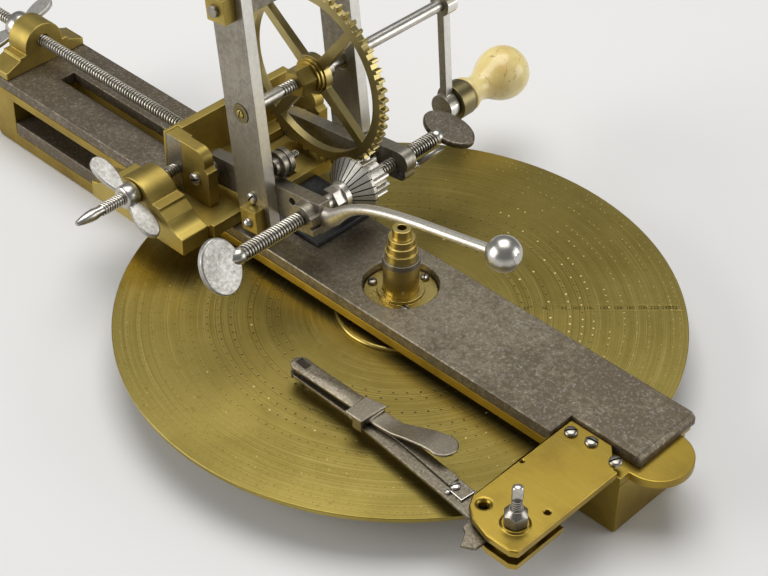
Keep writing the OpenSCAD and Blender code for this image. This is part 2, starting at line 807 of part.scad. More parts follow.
module cutter_arbor() {
  color(steel) at_cutter() difference() {
    union() {
      ycyl(4, -9.2, 29.2);
      translate([0, 1.5, 0]) rotate([90, 0, 0]) cylinder(r = 6.6, h = 5.5, $fn = 6);
      ycyl(7.4, 1.5, 5);
    }
    ycyl(1.5 + run, -10, -5.2);
    ycyl(1.5 + run, 25.2, 30);
  }
}
module cutter() {
  color(steel) at_cutter() difference() {
    union() {
      translate([0, 5, 0]) rotate([-90, 0, 0]) cylinder(r1 = 7.6, r2 = cutter_r, h = 7.3);
      ycyl(cutter_r, 12.3, 14);
    }
    ycyl(4, 0, 20);
  }
}
module pinion() {
  color(steel) at_cutter() xz(15.2, 27.4) difference() {
    rotate(mesh_ang + 180 + 180 / pinion_n) gear2d(pinion_n, pinion_rp, 1.05, 1.36, 2, 1.1);
    circle(r = 4);
  }
}
// oval thumb head standing along the screw: half its length, half its width
module thumb_head(long, wide) {
  translate([-1.9, 0, 0]) rotate([0, 90, 0]) linear_extrude(3.8) scale([wide / long, 1]) circle(r = long);
}
module front_center_screw() {
  color(steel) at_cutter() translate([0, -10.4, 0]) union() {
    ycyl(1.5, 0.2, 4.2);
    ycyl(3.25, front_end, 0.2);
    rotate([0, -21.7, 0]) translate([0, front_end - 10.9, 0]) thumb_head(11.2, 14.2);
  }
}
module back_center_screw() {
  color(steel) at_cutter() union() {
    ycyl(1.5, 25.6, 29.6);
    ycyl(3.25, 29.6, back_end);
    rotate([0, -76, 0]) translate([0, back_end + 9.6, 0]) thumb_head(9.9, 15.6);
  }
}
module back_clamp_screw() {
  color(steel) swing() translate([clamp_a, 0, clamp_b]) union() {
    ycyl(1.8, head_y + 0.4, in_y + 11.4);
    rotate([0, 46, 0]) translate([-1.4, in_y + 18.4, 0])
      rotate([0, 90, 0]) linear_extrude(2.8) circle(r = 9);
  }
}

lower_frame_brass();
lower_bar_steel();
front_end_block();
upper_bar_brass();
upper_bar_steel();
bearing_flange();
footstep_bearing();
frame_screws();
leadscrew_block();
index_bracket_top();
index_bracket_bottom();
index_stud();
index_nut();
dividing_plate();
plate_collar();
work_arbor();
arbor_ring();
index_arm();
index_spring();
thumb_lever();
saddle();
cross_screw_block();
leadscrew();
saddle_tongue();
saddle_keeper();
leadscrew_wing_nut();
cross_wing_nut();
cross_plate();
cross_nut_block();
pivot_cocks();
pivot_screws();
cross_screw();
front_upright();
back_upright();
front_arm();
back_arm();
top_tie_bar();
tie_nuts();
swing_screws();
foot_blocks();
drive_bushes();
ball_lever();
depth_stop();
lock_stud();
lock_nut();
drive_arbor();
drive_wheel();
wheel_nut();
wheel_collar();
crank_arm();
ferrule();
knob();
cutter_arbor();
cutter();
pinion();
front_center_screw();
back_center_screw();
back_clamp_screw();
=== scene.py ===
"""Looks of the wheel cutting engine: aged brass, worn steel, real threads and eased edges."""

import json
import logging
import math
from dataclasses import dataclass
from enum import Enum
from functools import lru_cache
from typing import Any, Callable, Optional, Sequence, Union

import bpy
from mathutils import Matrix, Vector

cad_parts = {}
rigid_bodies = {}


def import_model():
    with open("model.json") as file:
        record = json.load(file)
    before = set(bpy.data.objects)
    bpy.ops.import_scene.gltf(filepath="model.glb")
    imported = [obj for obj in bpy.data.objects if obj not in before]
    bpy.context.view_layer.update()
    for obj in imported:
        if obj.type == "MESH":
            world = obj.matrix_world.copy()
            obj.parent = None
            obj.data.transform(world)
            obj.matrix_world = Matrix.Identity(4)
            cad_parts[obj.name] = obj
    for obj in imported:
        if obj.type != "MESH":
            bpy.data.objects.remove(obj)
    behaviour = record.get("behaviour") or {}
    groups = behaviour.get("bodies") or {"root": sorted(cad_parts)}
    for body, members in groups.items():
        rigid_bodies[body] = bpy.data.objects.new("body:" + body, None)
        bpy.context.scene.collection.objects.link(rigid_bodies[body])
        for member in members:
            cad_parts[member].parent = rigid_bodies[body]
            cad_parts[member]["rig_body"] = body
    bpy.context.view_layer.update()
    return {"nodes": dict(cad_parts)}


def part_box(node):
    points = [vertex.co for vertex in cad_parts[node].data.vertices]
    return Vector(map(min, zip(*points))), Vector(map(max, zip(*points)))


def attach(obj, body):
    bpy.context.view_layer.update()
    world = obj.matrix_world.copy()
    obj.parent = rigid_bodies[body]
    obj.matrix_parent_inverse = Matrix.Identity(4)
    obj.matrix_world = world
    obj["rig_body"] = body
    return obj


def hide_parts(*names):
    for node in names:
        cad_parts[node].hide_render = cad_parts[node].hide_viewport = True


LOG = logging.getLogger("wheel_engine")

# Frame of the engine: lengths in millimetres, the swing frame leans back on its pivot line
MM = 0.001
TILT = math.radians(7.0)
PIVOT = Vector((-113.4, 11.85, 60.0))
AHEAD = Vector((1.0, 0.0, 0.0))
ACROSS = Vector((0.0, 1.0, 0.0))
UP = Vector((0.0, 0.0, 1.0))
FULL_TURN = 2.0 * math.pi

# Depth of a thread and of the core under it, as parts of the pitch
THREAD_DEPTH = 0.46
CORE_DEPTH = 0.42

# Direction of the row of numbers, and the rings of index holes: radius, count and size of a hole
NUMBER_ROW = math.radians(45.3)
HOLE_RINGS = (
    (59.7, 58, 0.62), (64.0, 57, 0.62), (73.0, 76, 0.6), (82.5, 92, 0.58), (88.7, 103, 0.5),
    (94.0, 118, 0.48), (102.0, 140, 0.46), (109.0, 158, 0.4), (115.0, 180, 0.38), (121.0, 200, 0.36),
    (127.0, 220, 0.36), (132.5, 240, 0.34), (136.0, 252, 0.32))

Pair = tuple[float, float]
Trio = tuple[float, float, float]
Quad = tuple[float, float, float, float]
Outline = Sequence[Pair]
Stops = Sequence[tuple[float, Quad]]
Number = Union[float, "Wire"]
Piece = bpy.types.Object
Material = bpy.types.Material

# Linear colours that several finishes share
UMBER = (0.12, 0.078, 0.018)
GOLD = (0.78, 0.62, 0.27)
RUST = (0.105, 0.085, 0.066)
SILVER = (0.74, 0.73, 0.71)
# Black of the engraved numbers' fill, and the painted shade inside the plate's index holes
DARK_FILL_AND_HOLE_SHADE = (0.03, 0.022, 0.008)

# Middle of a noise, and half of a share
HALF = 0.5


def swung(a: float, y: float, b: float) -> Vector:
    """Gives the place of a point measured in the swing frame.

    Args:
        a: Millimetres ahead of the pivot line, along the arms.
        y: Millimetres across, from the middle of the frame.
        b: Millimetres above the pivot line.

    Returns:
        The point in the shared frame, in millimetres.
    """
    x = a * math.cos(TILT) - b * math.sin(TILT)
    z = a * math.sin(TILT) + b * math.cos(TILT)
    return PIVOT + Vector((x, y, z))


def standing(middle: Vector, *axes: Vector) -> Matrix:
    """Place of a piece from its middle in millimetres and the directions of its three axes."""
    return Matrix.Translation(middle * MM) @ Matrix(axes).transposed().to_4x4()


def flat(middle: Trio, turn: float) -> Matrix:
    """Place of a level piece from its middle in millimetres and its turn in degrees."""
    return Matrix.Translation(Vector(middle) * MM) @ Matrix.Rotation(math.radians(turn), 4, "Z")


class Slot(Enum):
    """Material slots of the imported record."""

    BRASS = "brass"
    STEEL = "steel"
    BLUED = "blued_steel"
    BONE = "bone"


class Grain(Enum):
    """Direction of the file and polishing marks on a piece, as noise scales per metre."""

    ALONG = (60.0, 2200.0, 2200.0)
    ACROSS = (2200.0, 60.0, 2200.0)
    UPRIGHT = (2200.0, 2200.0, 60.0)
    MIXED = (700.0, 700.0, 700.0)


class Edge(Enum):
    """Rounded edges: their width in millimetres and their facets."""

    CRISP = (0.12, 1)
    TOOTH = (0.15, 2)
    FINE = (0.25, 2)
    SMALL = (0.3, 2)
    NUT = (0.35, 2)
    MILLED = (0.4, 2)
    SLIDE = (0.45, 2)
    BAR = (0.5, 2)
    RIM = (0.5, 3)
    ARM = (0.6, 2)
    CAST = (0.6, 3)
    WORN = (0.8, 3)


def arithmetic(kind: str, swapped: bool = False) -> Callable[["Wire", Number], "Wire"]:
    """Makes an arithmetic method of a wire.

    Args:
        kind: Blender's name of the operation.
        swapped: Whether the wire comes second.

    Returns:
        The method.
    """
    def method(wire: "Wire", other: Number = 0.0) -> "Wire":
        """Joins the wire and the other value in one Math node."""
        return wire.bench.calc(kind, other, wire) if swapped else wire.bench.calc(kind, wire, other)
    return method


@dataclass(frozen=True)
class Wire:
    """One output of a shader node, with arithmetic on it."""

    bench: "ShaderBench"
    socket: Any

    __add__ = arithmetic("ADD")
    __radd__ = arithmetic("ADD", True)
    __sub__ = arithmetic("SUBTRACT")
    __rsub__ = arithmetic("SUBTRACT", True)
    __mul__ = arithmetic("MULTIPLY")
    __rmul__ = arithmetic("MULTIPLY", True)
    __truediv__ = arithmetic("DIVIDE")
    __rtruediv__ = arithmetic("DIVIDE", True)
    __pow__ = arithmetic("POWER")
    __abs__ = arithmetic("ABSOLUTE")


class ShaderBench:
    """Lays the nodes of one material."""

    def __init__(self, name: str) -> None:
        """Starts an empty material.

        Args:
            name: Name of the material.
        """
        self.material = bpy.data.materials.new(name)
        self.material.use_nodes = True
        self.tree = self.material.node_tree
        self.tree.nodes.clear()

    def node(self, kind: str, settings: dict[str, Any], inputs: dict[Any, Any], output: Any = 0) -> Wire:
        """Adds one node, sets it and joins its sockets.

        Args:
            kind: Blender's type name of the node.
            settings: Properties of the node, or "stops" for the stops of a colour ramp.
            inputs: Values or wires for its sockets, by name or number.
            output: Name or number of the output that is wanted.

        Returns:
            The wanted output.
        """
        made = self.tree.nodes.new(kind)
        for key, value in settings.items():
            if key == "stops":
                self.set_stops(made.color_ramp, value)
            else:
                setattr(made, key, value)
        for key, value in inputs.items():
            if isinstance(value, Wire):
                self.tree.links.new(value.socket, made.inputs[key])
            else:
                made.inputs[key].default_value = value
        return Wire(self, made.outputs[output] if made.outputs else None)

    def set_stops(self, ramp: bpy.types.ColorRamp, stops: Stops) -> None:
        """Gives a colour ramp hard stops.

        Args:
            ramp: The ramp.
            stops: Start and colour of each stop.
        """
        ramp.interpolation = "CONSTANT"
        while len(ramp.elements) > 1:
            ramp.elements.remove(ramp.elements[-1])
        ramp.elements[0].position, ramp.elements[0].color = stops[0]
        for place, colour in stops[1:]:
            ramp.elements.new(place).color = colour

    def parts(self, kind: str, whole: Wire) -> list[Wire]:
        """Splits a vector or a colour into its three numbers."""
        split = self.node(kind, {}, {0: whole})
        return [Wire(self, socket) for socket in split.socket.node.outputs][:3]

    def calc(self, operation: str, first: Number, second: Number = 0.0) -> Wire:
        """Adds one Math node."""
        return self.node("ShaderNodeMath", {"operation": operation}, {0: first, 1: second})

    def step(self, value: Number, low: float, high: float) -> Wire:
        """Steps smoothly from 0 to 1.

        Args:
            value: The value.
            low: Where the step is 0.
            high: Where it is 1, above or below the first place.

        Returns:
            The step.
        """
        ends = {1: low, 2: high, 3: 0.0, 4: 1.0} if low < high else {1: high, 2: low, 3: 1.0, 4: 0.0}
        return self.node("ShaderNodeMapRange", {"interpolation_type": "SMOOTHSTEP"}, {0: value, **ends})

    def patch(self, value: Wire, low: float, high: float, amount: float) -> Wire:
        """Smooth step of a value, times an amount."""
        return self.step(value, low, high) * amount

    def mix(self, amount: Number, first: Union[Trio, Wire], second: Union[Trio, Wire]) -> Wire:
        """Mixes two colours by an amount from 0 to 1."""
        sides = [side if isinstance(side, Wire) else (*side, 1.0) for side in (first, second)]
        return self.node("ShaderNodeMix", {"data_type": "RGBA"}, {0: amount, 6: sides[0], 7: sides[1]}, 2)

    def layers(self, colour: Union[Trio, Wire], *coats: tuple[Number, Union[Trio, Wire]]) -> Wire:
        """Lays coats of colour over each other.

        Args:
            colour: The ground.
            coats: Amount and colour of each coat, the lowest first.

        Returns:
            The colour on top.
        """
        for amount, coat in coats:
            colour = self.mix(amount, colour, coat)
        return colour

    def place(self) -> Wire:
        """Object coordinates in metres."""
        return self.node("ShaderNodeTexCoord", {}, {}, "Object")

    def noise(self, place: Wire, scale: float, detail: float = 4.0, rough: float = 0.55) -> Wire:
        """Cloudy noise of a scale per metre, from 0 to 1."""
        inputs = {"Vector": place, "Scale": scale, "Detail": detail, "Roughness": rough}
        return self.node("ShaderNodeTexNoise", {}, inputs)

    def streaks(self, place: Wire, grain: Grain) -> Wire:
        """Fine marks drawn out along one direction."""
        drawn = self.node("ShaderNodeMapping", {}, {"Vector": place, "Scale": grain.value})
        return self.noise(drawn, 1.0, 3.0, 0.6)

    def close(self, inputs: dict[str, Any], height: Wire, depth: float, bump: float) -> Material:
        """Ends the material in a metal or bone shader with a bump.

        Args:
            inputs: Values and wires for the shader.
            height: Height of the surface marks.
            depth: Depth of those marks in metres.
            bump: Strength of the bump.

        Returns:
            The finished material.
        """
        normal = self.node("ShaderNodeBump", {}, {"Height": height, "Strength": bump, "Distance": depth})
        shader = self.node("ShaderNodeBsdfPrincipled", {}, {**inputs, "Normal": normal})
        self.node("ShaderNodeOutputMaterial", {}, {"Surface": shader})
        return self.material


@dataclass(frozen=True)
class Brass:
    """Aged brass: olive gold with brown stains, file marks and small dark specks."""

    name: str
    tone: Trio
    rough: float
    stained: float
    grain: Grain = Grain.MIXED
    specked: float = 0.3
    bump: float = 0.22
    stain: Trio = UMBER
    shine: Trio = GOLD
    slot: Slot = Slot.BRASS
    cloud: Trio = (38.0, 5.0, 0.6)
    fine: Trio = (520.0, 4.0, 0.6)
    patches: Pair = (0.4, 0.74)
    specks: Pair = (0.66, 0.76)
    rubs: Pair = (0.5, 0.8)
    rubbed: float = 0.14
    uneven: Pair = (0.2, 0.1)
    relief: Pair = (0.6, 0.4)
    depth: float = 0.00005

    def material(self) -> Material:
        """Lays the nodes of this brass.

        Returns:
            The material.
        """
        bench = ShaderBench(self.name)
        place = bench.place()
        cloud = bench.noise(place, *self.cloud)
        fine = bench.noise(place, *self.fine)
        marks = bench.streaks(place, self.grain)
        colour = bench.layers(
            self.tone,
            (bench.patch(cloud, *self.patches, self.stained), self.stain),
            (bench.patch(marks, *self.rubs, self.rubbed), self.shine),
            (bench.patch(fine, *self.specks, self.specked), self.stain))
        rough = self.rough + (cloud - HALF) * self.uneven[0] + (fine - HALF) * self.uneven[1]
        height = marks * self.relief[0] + fine * self.relief[1]
        inputs = {"Base Color": colour, "Roughness": rough, "Metallic": 1.0}
        return bench.close(inputs, height, self.depth, self.bump)


@dataclass(frozen=True)
class Steel:
    """Worn steel: grey with a fine brown mottle, pits, polishing marks, rust at the front end of the bed and
    painted shade at its rear end.
    """

    name: str
    tone: Trio
    stain: Trio
    rough: float
    stained: float
    pitted: float
    grain: Grain = Grain.MIXED
    mottle: float = 380.0
    rusty: float = 0.0
    shine: Trio = SILVER
    slot: Slot = Slot.STEEL
    cloud: Trio = (42.0, 4.0, 0.6)
    fine: Trio = (1500.0, 3.0, 0.6)
    front: Pair = (0.03, 0.13)
    rear: Pair = (-0.1, -0.22)
    shares: Trio = (0.62, 0.38, 0.1)
    patches: Pair = (0.38, 0.64)
    pits: Pair = (0.58, 0.74)
    rubs: Pair = (0.5, 0.75)
    rubbed: float = 0.25
    uneven: Trio = (0.16, 0.2, 0.1)
    relief: Trio = (0.35, 0.5, 0.4)
    dulled: float = 0.25
    depth: float = 0.00006
    bump: float = 0.4

    def material(self) -> Material:
        """Lays the nodes of this steel.

        Returns:
            The material.
        """
        bench = ShaderBench(self.name)
        place = bench.place()
        cloud = bench.noise(place, *self.cloud)
        mottle = bench.noise(place, self.mottle, 5.0, 0.7)
        marks = bench.streaks(place, self.grain)
        x = bench.parts("ShaderNodeSeparateXYZ", place)[0]
        # Rust near the front end of the bed; the same browning towards the rear end is painted shade
        ends = (bench.step(x, *self.front) + bench.step(x, *self.rear)) * self.rusty
        browned = mottle * self.shares[0] + cloud * self.shares[1] + ends * self.shares[2]
        patch = bench.patch(browned, *self.patches, self.stained)
        pits = bench.patch(bench.noise(place, *self.fine), *self.pits, self.pitted)
        bare = bench.patch(marks, *self.rubs, self.rubbed)
        colour = bench.layers(self.tone, (patch, self.stain), (bare, self.shine), (pits, self.stain))
        rough = self.rough + patch * self.uneven[0] + pits * self.uneven[1] + (marks - HALF) * self.uneven[2]
        height = marks * self.relief[0] - pits * self.relief[1] + mottle * self.relief[2]
        inputs = {"Base Color": colour, "Roughness": rough, "Metallic": 1.0 - patch * self.dulled}
        return bench.close(inputs, height, self.depth, self.bump)


@dataclass(frozen=True)
class Bone:
    """Polished yellowed bone with faint grain, brown spots and fine cracks."""

    name: str
    tone: Trio
    deep: Trio
    spot: Trio
    slot: Slot = Slot.BONE
    scales: Quad = (70.0, 260.0, 95.0, 60.0)
    clouds: Pair = (0.35, 0.75)
    grains: Pair = (0.5, 0.8)
    spots: Pair = (0.68, 0.78)
    veins: Pair = (0.012, 0.004)
    cracked: Pair = (0.5, 0.58)
    shares: Trio = (0.35, 0.5, 0.7)
    gloss: Pair = (0.26, 0.12)
    waxed: float = 0.5
    glow: Pair = (0.08, 0.002)
    depth: float = 0.00006
    bump: float = 0.2

    def material(self) -> Material:
        """Lays the nodes of the bone.

        Returns:
            The material.
        """
        bench = ShaderBench(self.name)
        place = bench.place()
        cloud = bench.noise(place, self.scales[0])
        marks = bench.streaks(place, Grain.ACROSS)
        spots = bench.step(bench.noise(place, self.scales[1], 3.0), *self.spots)
        vein = bench.step(abs(bench.noise(place, self.scales[2], 3.0) - HALF), *self.veins)
        crack = vein * bench.step(bench.noise(place, self.scales[3], 1.0), *self.cracked)
        colour = bench.layers(
            self.tone,
            (bench.step(cloud, *self.clouds), self.deep),
            (bench.patch(marks, *self.grains, self.shares[0]), self.deep),
            (spots * self.shares[1], self.spot),
            (crack * self.shares[2], self.spot))
        rough = self.gloss[0] + cloud * self.gloss[1]
        inputs = {"Base Color": colour, "Roughness": rough, "Coat Weight": self.waxed,
                  "Subsurface Weight": self.glow[0], "Subsurface Scale": self.glow[1]}
        return bench.close(inputs, marks + cloud * HALF, self.depth, self.bump)


@dataclass(frozen=True)
class DividedBrass:
    """Brass of the dividing plate: turned marks, scribed circles and rings of index holes on top, each hole
    painted dark as shade and some with a painted glint.
    """

    name: str
    tone: Trio
    stain: Trio
    shine: Trio = GOLD
    hole: Trio = DARK_FILL_AND_HOLE_SHADE
    slot: Slot = Slot.BRASS
    top_mm: float = 24.45
    span_mm: float = 150.0
    most: float = 256.0
    shift: float = 400.0
    hole_edge: Pair = (1.2, 0.7)
    fading: Pair = (112.0, 92.0)
    sunny: Pair = (60.0, 120.0)
    glints: Pair = (0.9, 0.95)
    line_off: float = 1.35
    line_edge: Pair = (0.22, 0.06)
    line_start: Pair = (56.0, 57.0)
    line_fading: Pair = (97.0, 86.0)
    line_least: float = 0.3
    row_half: float = 2.3
    row_edge: Pair = (0.2, 0.05)
    row_start: Pair = (66.0, 68.0)
    turning: Pair = (1.9, 0.6)
    scatter: Quad = (0.37, 12.9898, 7.233, 4375.85)
    cloud: Trio = (12.0, 5.0, 0.6)
    fine: Trio = (420.0, 4.0, 0.6)
    stains: Trio = (0.4, 0.68, 0.75)
    rubs: Trio = (0.48, 0.78, 0.42)
    specks: Trio = (0.56, 0.72, 0.5)
    grooves: Trio = (0.44, 0.26, 0.45)
    inked: Pair = (0.45, 0.5)
    rough: float = 0.37
    uneven: float = 0.2
    relief: Quad = (0.3, 1.6, 0.4, 0.5)
    depth: float = 0.00012
    bump: float = 0.5

    def stops(self) -> Stops:
        """Packs the rings of holes into hard stops over the radius.

        Returns:
            Start of each stop, with radius, count and hole size as its colour.
        """
        packed = []
        edge = 0.0
        for number, (radius, count, size) in enumerate(HOLE_RINGS):
            packed.append((edge / self.span_mm, (radius / self.span_mm, count / self.most, size, 1.0)))
            if number + 1 < len(HOLE_RINGS):
                edge = (radius + HOLE_RINGS[number + 1][0]) / 2.0
        return packed

    def material(self) -> Material:
        """Lays the nodes of the plate.

        Returns:
            The material.
        """
        bench = ShaderBench(self.name)
        place = bench.place()
        x, y, z = [part * (1.0 / MM) for part in bench.parts("ShaderNodeSeparateXYZ", place)]
        radius = (x * x + y * y) ** 0.5
        angle = bench.calc("ARCTAN2", y, x)
        top = bench.step(z, self.top_mm - 0.1, self.top_mm)
        # The nearest ring of holes, and the cell of one hole on it with a chance of its own
        table = bench.node("ShaderNodeValToRGB", {"stops": self.stops()}, {0: radius / self.span_mm})
        ring, count, size = bench.parts("ShaderNodeSeparateColor", table)
        off = radius - ring * self.span_mm
        count = bench.calc("ROUND", count * self.most)
        start, by_cell, by_count, spread = self.scatter
        turn = angle / FULL_TURN * count + self.shift + bench.calc("FRACT", count * start)
        cell = bench.calc("FLOOR", turn)
        chance = bench.calc("SINE", cell * by_cell + count * by_count)
        chance = bench.calc("FRACT", chance * spread)
        along = (turn - cell - HALF) * FULL_TURN * radius / count
        away = ((along * along + off * off) ** 0.5) / size
        fade = bench.step(radius, *self.fading) * HALF + HALF
        # Each hole is painted dark: painted shade inside it, weaker on the outer rings
        hole = bench.step(away, *self.hole_edge) * top * fade * (chance * HALF + HALF)
        # Painted glints on the rims of some holes, more of them towards +x+y
        painted_glint = bench.step(chance + bench.step(x + y, *self.sunny) * 0.4, *self.glints)
        # Scribed circles on both sides of a ring, and the two ruled lines of the row of numbers, both drawn
        # darker
        line = bench.step(abs(abs(off) - self.line_off), *self.line_edge) * top
        line = line * bench.step(radius, *self.line_start)
        least = self.line_least
        line = line * (bench.patch(radius, *self.line_fading, 1.0 - least) + least)
        out = x * math.cos(NUMBER_ROW) + y * math.sin(NUMBER_ROW)
        side = abs(y * math.cos(NUMBER_ROW) - x * math.sin(NUMBER_ROW))
        ruled = bench.step(abs(side - self.row_half), *self.row_edge)
        ruled = ruled * bench.step(out, *self.row_start) * top
        wound = {0: radius * self.turning[0], 1: angle * self.turning[1]}
        turned = bench.noise(bench.node("ShaderNodeCombineXYZ", {}, wound), 1.0, 4.0, 0.7)
        cloud = bench.noise(place, *self.cloud)
        fine = bench.noise(place, *self.fine)
        colour = bench.layers(
            self.tone,
            (bench.patch(cloud, *self.stains), self.stain),
            (bench.patch(turned, *self.rubs), self.shine),
            (bench.patch(fine, *self.specks), self.stain),
            (bench.patch(turned, *self.grooves), self.stain),
            (line * self.inked[0] + ruled * self.inked[1], self.hole),
            (hole, bench.mix(painted_glint, self.hole, self.shine)))
        uneven = self.uneven
        rough = self.rough + (cloud - HALF) * uneven + (turned - HALF) * uneven + hole * uneven
        marks, sunk, scribed, row = self.relief
        height = turned * marks - hole * sunk - line * scribed - ruled * row
        inputs = {"Base Color": colour, "Roughness": rough, "Metallic": 1.0 - hole * 0.4}
        return bench.close(inputs, height, self.depth, self.bump)


Finish = Union[Brass, Steel, Bone, DividedBrass]
Plain = Sequence[tuple[str, Edge, Finish]]

# Finishes of the engine: tone, stain, roughness and how much of it is stained and pitted
BAR_BRASS = Brass("bar_brass", (0.385, 0.268, 0.046), 0.36, 0.5, Grain.ALONG)
BLOCK_BRASS = Brass("block_brass", (0.45, 0.34, 0.09), 0.46, 0.45, Grain.UPRIGHT)
TURNED_BRASS = Brass("turned_brass", (0.47, 0.36, 0.1), 0.3, 0.25, specked=0.12, bump=0.12)
WHEEL_BRASS = Brass("wheel_brass", (0.42, 0.345, 0.145), 0.33, 0.4, specked=0.25, bump=0.15)
# Dull dark brass: the ferrule's own colour, and painted shade on the drive bushes
DULL_AND_SHADE_BRASS = Brass("dull_and_shade_brass", (0.22, 0.185, 0.09), 0.4, 0.4, specked=0.2, bump=0.15)
POLISHED_BRASS = Brass("polished_brass", (0.64, 0.5, 0.17), 0.3, 0.16, specked=0.06, bump=0.06)
# Bright brass of the rounded edges: real edge wear and a painted highlight
WEAR_AND_HIGHLIGHT_BRASS = Brass("wear_and_highlight_brass", (0.86, 0.73, 0.36), 0.3, 0.3, stain=(0.5, 0.38, 0.13))
ENGRAVING = Brass("engraving", (0.06, 0.045, 0.016), 0.5, 0.5, stain=DARK_FILL_AND_HOLE_SHADE, shine=UMBER)
PLATE_BRASS = DividedBrass("plate_brass", (0.38, 0.298, 0.076), (0.22, 0.17, 0.038))
BAR_STEEL = Steel("bar_steel", (0.27, 0.232, 0.165), (0.09, 0.066, 0.04), 0.42, 0.75, 0.45, rusty=1.0)
FRAME_STEEL = Steel("frame_steel", (0.34, 0.312, 0.25), (0.11, 0.088, 0.06), 0.36, 0.55, 0.5, Grain.UPRIGHT)
DARK_STEEL = Steel("dark_steel", (0.24, 0.207, 0.15), (0.07, 0.055, 0.034), 0.38, 0.7, 0.5, mottle=760.0)
BROWN_STEEL = Steel("brown_steel", (0.18, 0.153, 0.11), (0.06, 0.047, 0.03), 0.38, 0.7, 0.5, mottle=760.0)
SPOON_STEEL = Steel("spoon_steel", (0.3, 0.262, 0.2), (0.16, 0.132, 0.09), 0.3, 0.5, 0.15, mottle=140.0)
LEVER_STEEL = Steel("lever_steel", (0.78, 0.74, 0.65), (0.3, 0.262, 0.2), 0.34, 0.5, 0.3, Grain.ALONG)
BALL_STEEL = Steel("ball_steel", (0.56, 0.54, 0.49), (0.26, 0.24, 0.2), 0.29, 0.3, 0.2, Grain.UPRIGHT)
CUTTER_STEEL = Steel("cutter_steel", (0.52, 0.5, 0.44), (0.26, 0.24, 0.19), 0.44, 0.3, 0.2)
BRIGHT_STEEL = Steel("bright_steel", (0.58, 0.555, 0.5), (0.2, 0.17, 0.125), 0.28, 0.4, 0.25)
SCREW_STEEL = Steel("screw_steel", (0.38, 0.355, 0.3), RUST, 0.28, 0.4, 0.3)
THREAD_STEEL = Steel("thread_steel", (0.56, 0.53, 0.46), (0.2, 0.17, 0.12), 0.34, 0.4, 0.0, mottle=160.0)
# Near-black steel of thread roots, saw slots, cutter slits and the pocket floor: painted shade in these
# recesses, with rust-coloured marks
GROOVE_SHADE = Steel("groove_shade", (0.05, 0.042, 0.03), (0.025, 0.02, 0.014), 0.5, 0.5, 0.0, shine=RUST, mottle=160.0)
THUMB_STEEL = Steel("thumb_steel", (0.52, 0.505, 0.47), (0.24, 0.22, 0.185), 0.4, 0.6, 0.6, mottle=520.0)
# Bright steel of the rounded edges and of some faces: real edge wear and a painted highlight
WEAR_AND_HIGHLIGHT_STEEL = Steel("wear_and_highlight_steel", (0.84, 0.82, 0.77), (0.42, 0.4, 0.35), 0.3, 0.25, 0.15)
BLUED = Steel("blued", (0.09, 0.1, 0.12), (0.05, 0.045, 0.04), 0.34, 0.5, 0.4,
              shine=(0.3, 0.31, 0.33), slot=Slot.BLUED)
YELLOW_BONE = Bone("yellow_bone", (0.85, 0.71, 0.31), (0.7, 0.5, 0.16), (0.27, 0.13, 0.035))


@lru_cache(maxsize=None)
def material_of(finish: Finish) -> Material:
    """Gives the material of a finish, made once."""
    return finish.material()


